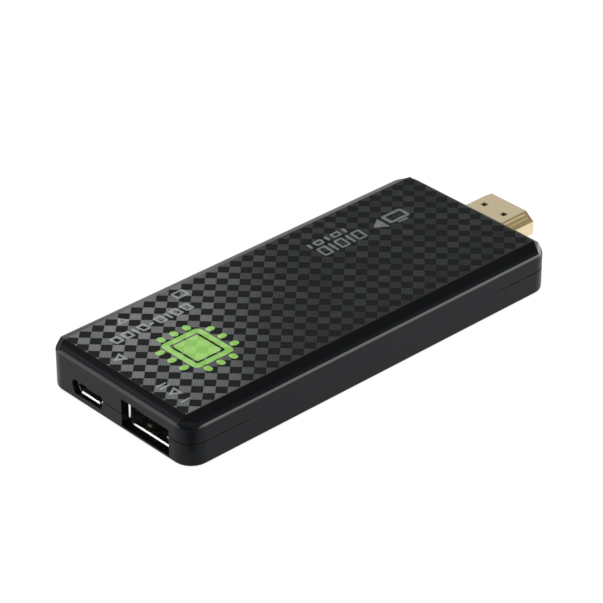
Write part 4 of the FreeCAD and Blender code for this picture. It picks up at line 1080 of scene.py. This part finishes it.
def make_silver_marks():
    """The silver print: two frames, bars, rows of cells, and a small pointer for each port."""
    bm = bmesh.new()
    for centre, outer, inner, radii in MARK_FRAMES:
        add_rounded_frame(bm, centre, outer, inner, radii)
    for centre, size, radius in MARK_BARS:
        add_patch(bm, rounded_corner_points(centre, size, radius, 3))
    for row in MARK_ROWS:
        add_cells(bm, *row)
    for corners in MARK_POINTERS:
        add_pointer(bm, corners)
    add_patch(bm, PLUG_POINTER)
    finish_piece("silver_marks", bm, "silver_ink")


def add_strip(bm, rows):
    """A closed strip of sheet through rows of four corners: near top, near foot, far top, far foot."""
    for near, far in zip(rows, rows[1:]):
        for first, second in ((0, 2), (2, 3), (3, 1), (1, 0)):
            bm.faces.new((near[first], near[second], far[second], far[first]))
    for row in (rows[0], rows[-1]):
        bm.faces.new((row[0], row[2], row[3], row[1]))


def add_flange(bm, start, end, outward, mouth, radius, skirt, thickness):
    """A strip of sheet that curls outward at a socket's mouth, from its inner edge to a flat skirt."""
    steps = 6
    out = Vector((0, *outward))
    rows = []
    for step in range(steps + 2):
        angle = FLANGE_BEND * min(step, steps) / steps
        slide = Vector((mouth - radius * math.sin(angle), 0, 0))
        slide += out * (radius * (1 - math.cos(angle)))
        if step > steps:
            slide += Vector((-skirt * math.cos(angle), 0, 0)) + out * (skirt * math.sin(angle))
        behind = out * (thickness * math.cos(angle)) + Vector((thickness * math.sin(angle), 0, 0))
        row = []
        for point in (start, end):
            place = Vector((0, *point)) + slide
            row += [bm.verts.new(place * MM), bm.verts.new((place + behind) * MM)]
        rows.append(row)
    add_strip(bm, rows)


def make_host_flanges():
    """The four curled lips round the full-size socket's mouth, open at the corners."""
    bm = bmesh.new()
    y, z = HOST_CENTRE
    half_y, half_z = HOST_INNER
    corner = HOST_LIP_CORNER
    for side in (-1, 1):
        level = z + side * (half_z - HOST_LIP_INSET)
        start, end = (y - half_y + corner, level), (y + half_y - corner, level)
        add_flange(bm, start, end, (0, side), **HOST_LIP)
        flank = y + side * half_y
        foot = z - half_z + 2 * corner
        add_flange(bm, (flank, foot), (flank, z + half_z), (side, 0), **HOST_LIP)
    finish_piece("host_socket_lips", bm, "lip_steel", smooth=True)


def make_host_springs():
    """The two sprung strips in the full-size socket's floor that press on a plug."""
    bm = bmesh.new()
    floor = HOST_CENTRE[1] - HOST_INNER[1]
    tip = SPRING_PROFILE[-1][0]
    for y in SPRING_CENTRES:
        rows = []
        for x, rise in SPRING_PROFILE:
            half = SPRING_TIP_HALF + SPRING_TAPER * (x - tip)
            row = []
            for side in (-1, 1):
                for z in (floor + rise, floor + rise - SPRING_THICKNESS):
                    row.append(bm.verts.new(Vector((x, y + side * half, z)) * MM))
            rows.append(row)
        add_strip(bm, rows)
    finish_piece("host_socket_springs", bm, "socket_steel", smooth=True)


def make_small_flange(name, turn):
    """The curled lip at a small socket's mouth, built for the power socket and turned into place."""
    bm = bmesh.new()
    start, end = ((POWER_CENTRE + side * POWER_LIP_HALF, POWER_FLOOR) for side in (-1, 1))
    add_flange(bm, start, end, (0, -1), **POWER_LIP)
    bmesh.ops.transform(bm, matrix=turn, verts=bm.verts)
    finish_piece(name, bm, "lip_steel", smooth=True)


def make_plug_rib():
    """The long pressed rib on each slope of the plug's sheet."""
    bm = bmesh.new()
    steps = 8
    for side in (-1, 1):
        foot, top = (Vector((0, PLUG_OFFSET + side * y, z)) for y, z in PLUG_SLOPE)
        along = (top - foot).normalized()
        out = Vector((0, side * along.z, abs(along.y)))
        middle = foot + (top - foot) * PLUG_RIB_SHARE
        rows = []
        for step in range(steps + 1):
            angle = math.pi * step / steps
            lift = PLUG_RIB_HEIGHT * math.sin(angle) - PLUG_RIB_SINK
            place = middle - along * (PLUG_RIB_HALF * math.cos(angle)) + out * lift
            rows.append([bm.verts.new((place + Vector((x, 0, 0))) * MM) for x in PLUG_RIB_ENDS])
        for near, far in zip(rows, rows[1:]):
            bm.faces.new((near[0], near[1], far[1], far[0]))
        for end in (0, 1):
            bm.faces.new([row[end] for row in rows])
        bm.faces.new((rows[0][0], rows[0][1], rows[-1][1], rows[-1][0]))
    finish_piece("video_plug_ribs", bm, "gilt_plate", smooth=True)


make_camera()
make_lights()
make_world()
make_ceiling()
dark_card("near_corner_card", low=(-0.069, -0.0425), high=(-0.047, -0.0205), fade=0.0025)
dark_card("far_corner_card", low=(-0.064, 0.028), high=(-0.002, 0.240), fade=0.010)
dark_card("far_side_gauze", low=(-0.006, -0.004), high=(0.160, 0.240), fade=0.012, cover=0.32)
make_floor()
dress_nodes()
make_label()
make_emblem()
make_silver_marks()
make_host_flanges()
make_host_springs()
make_small_flange("power_socket_lips", Matrix.Identity(4))
make_small_flange("data_socket_lips", DATA_SOCKET_TURN)
make_plug_rib()

bpy.context.scene.view_settings.view_transform = "Standard"
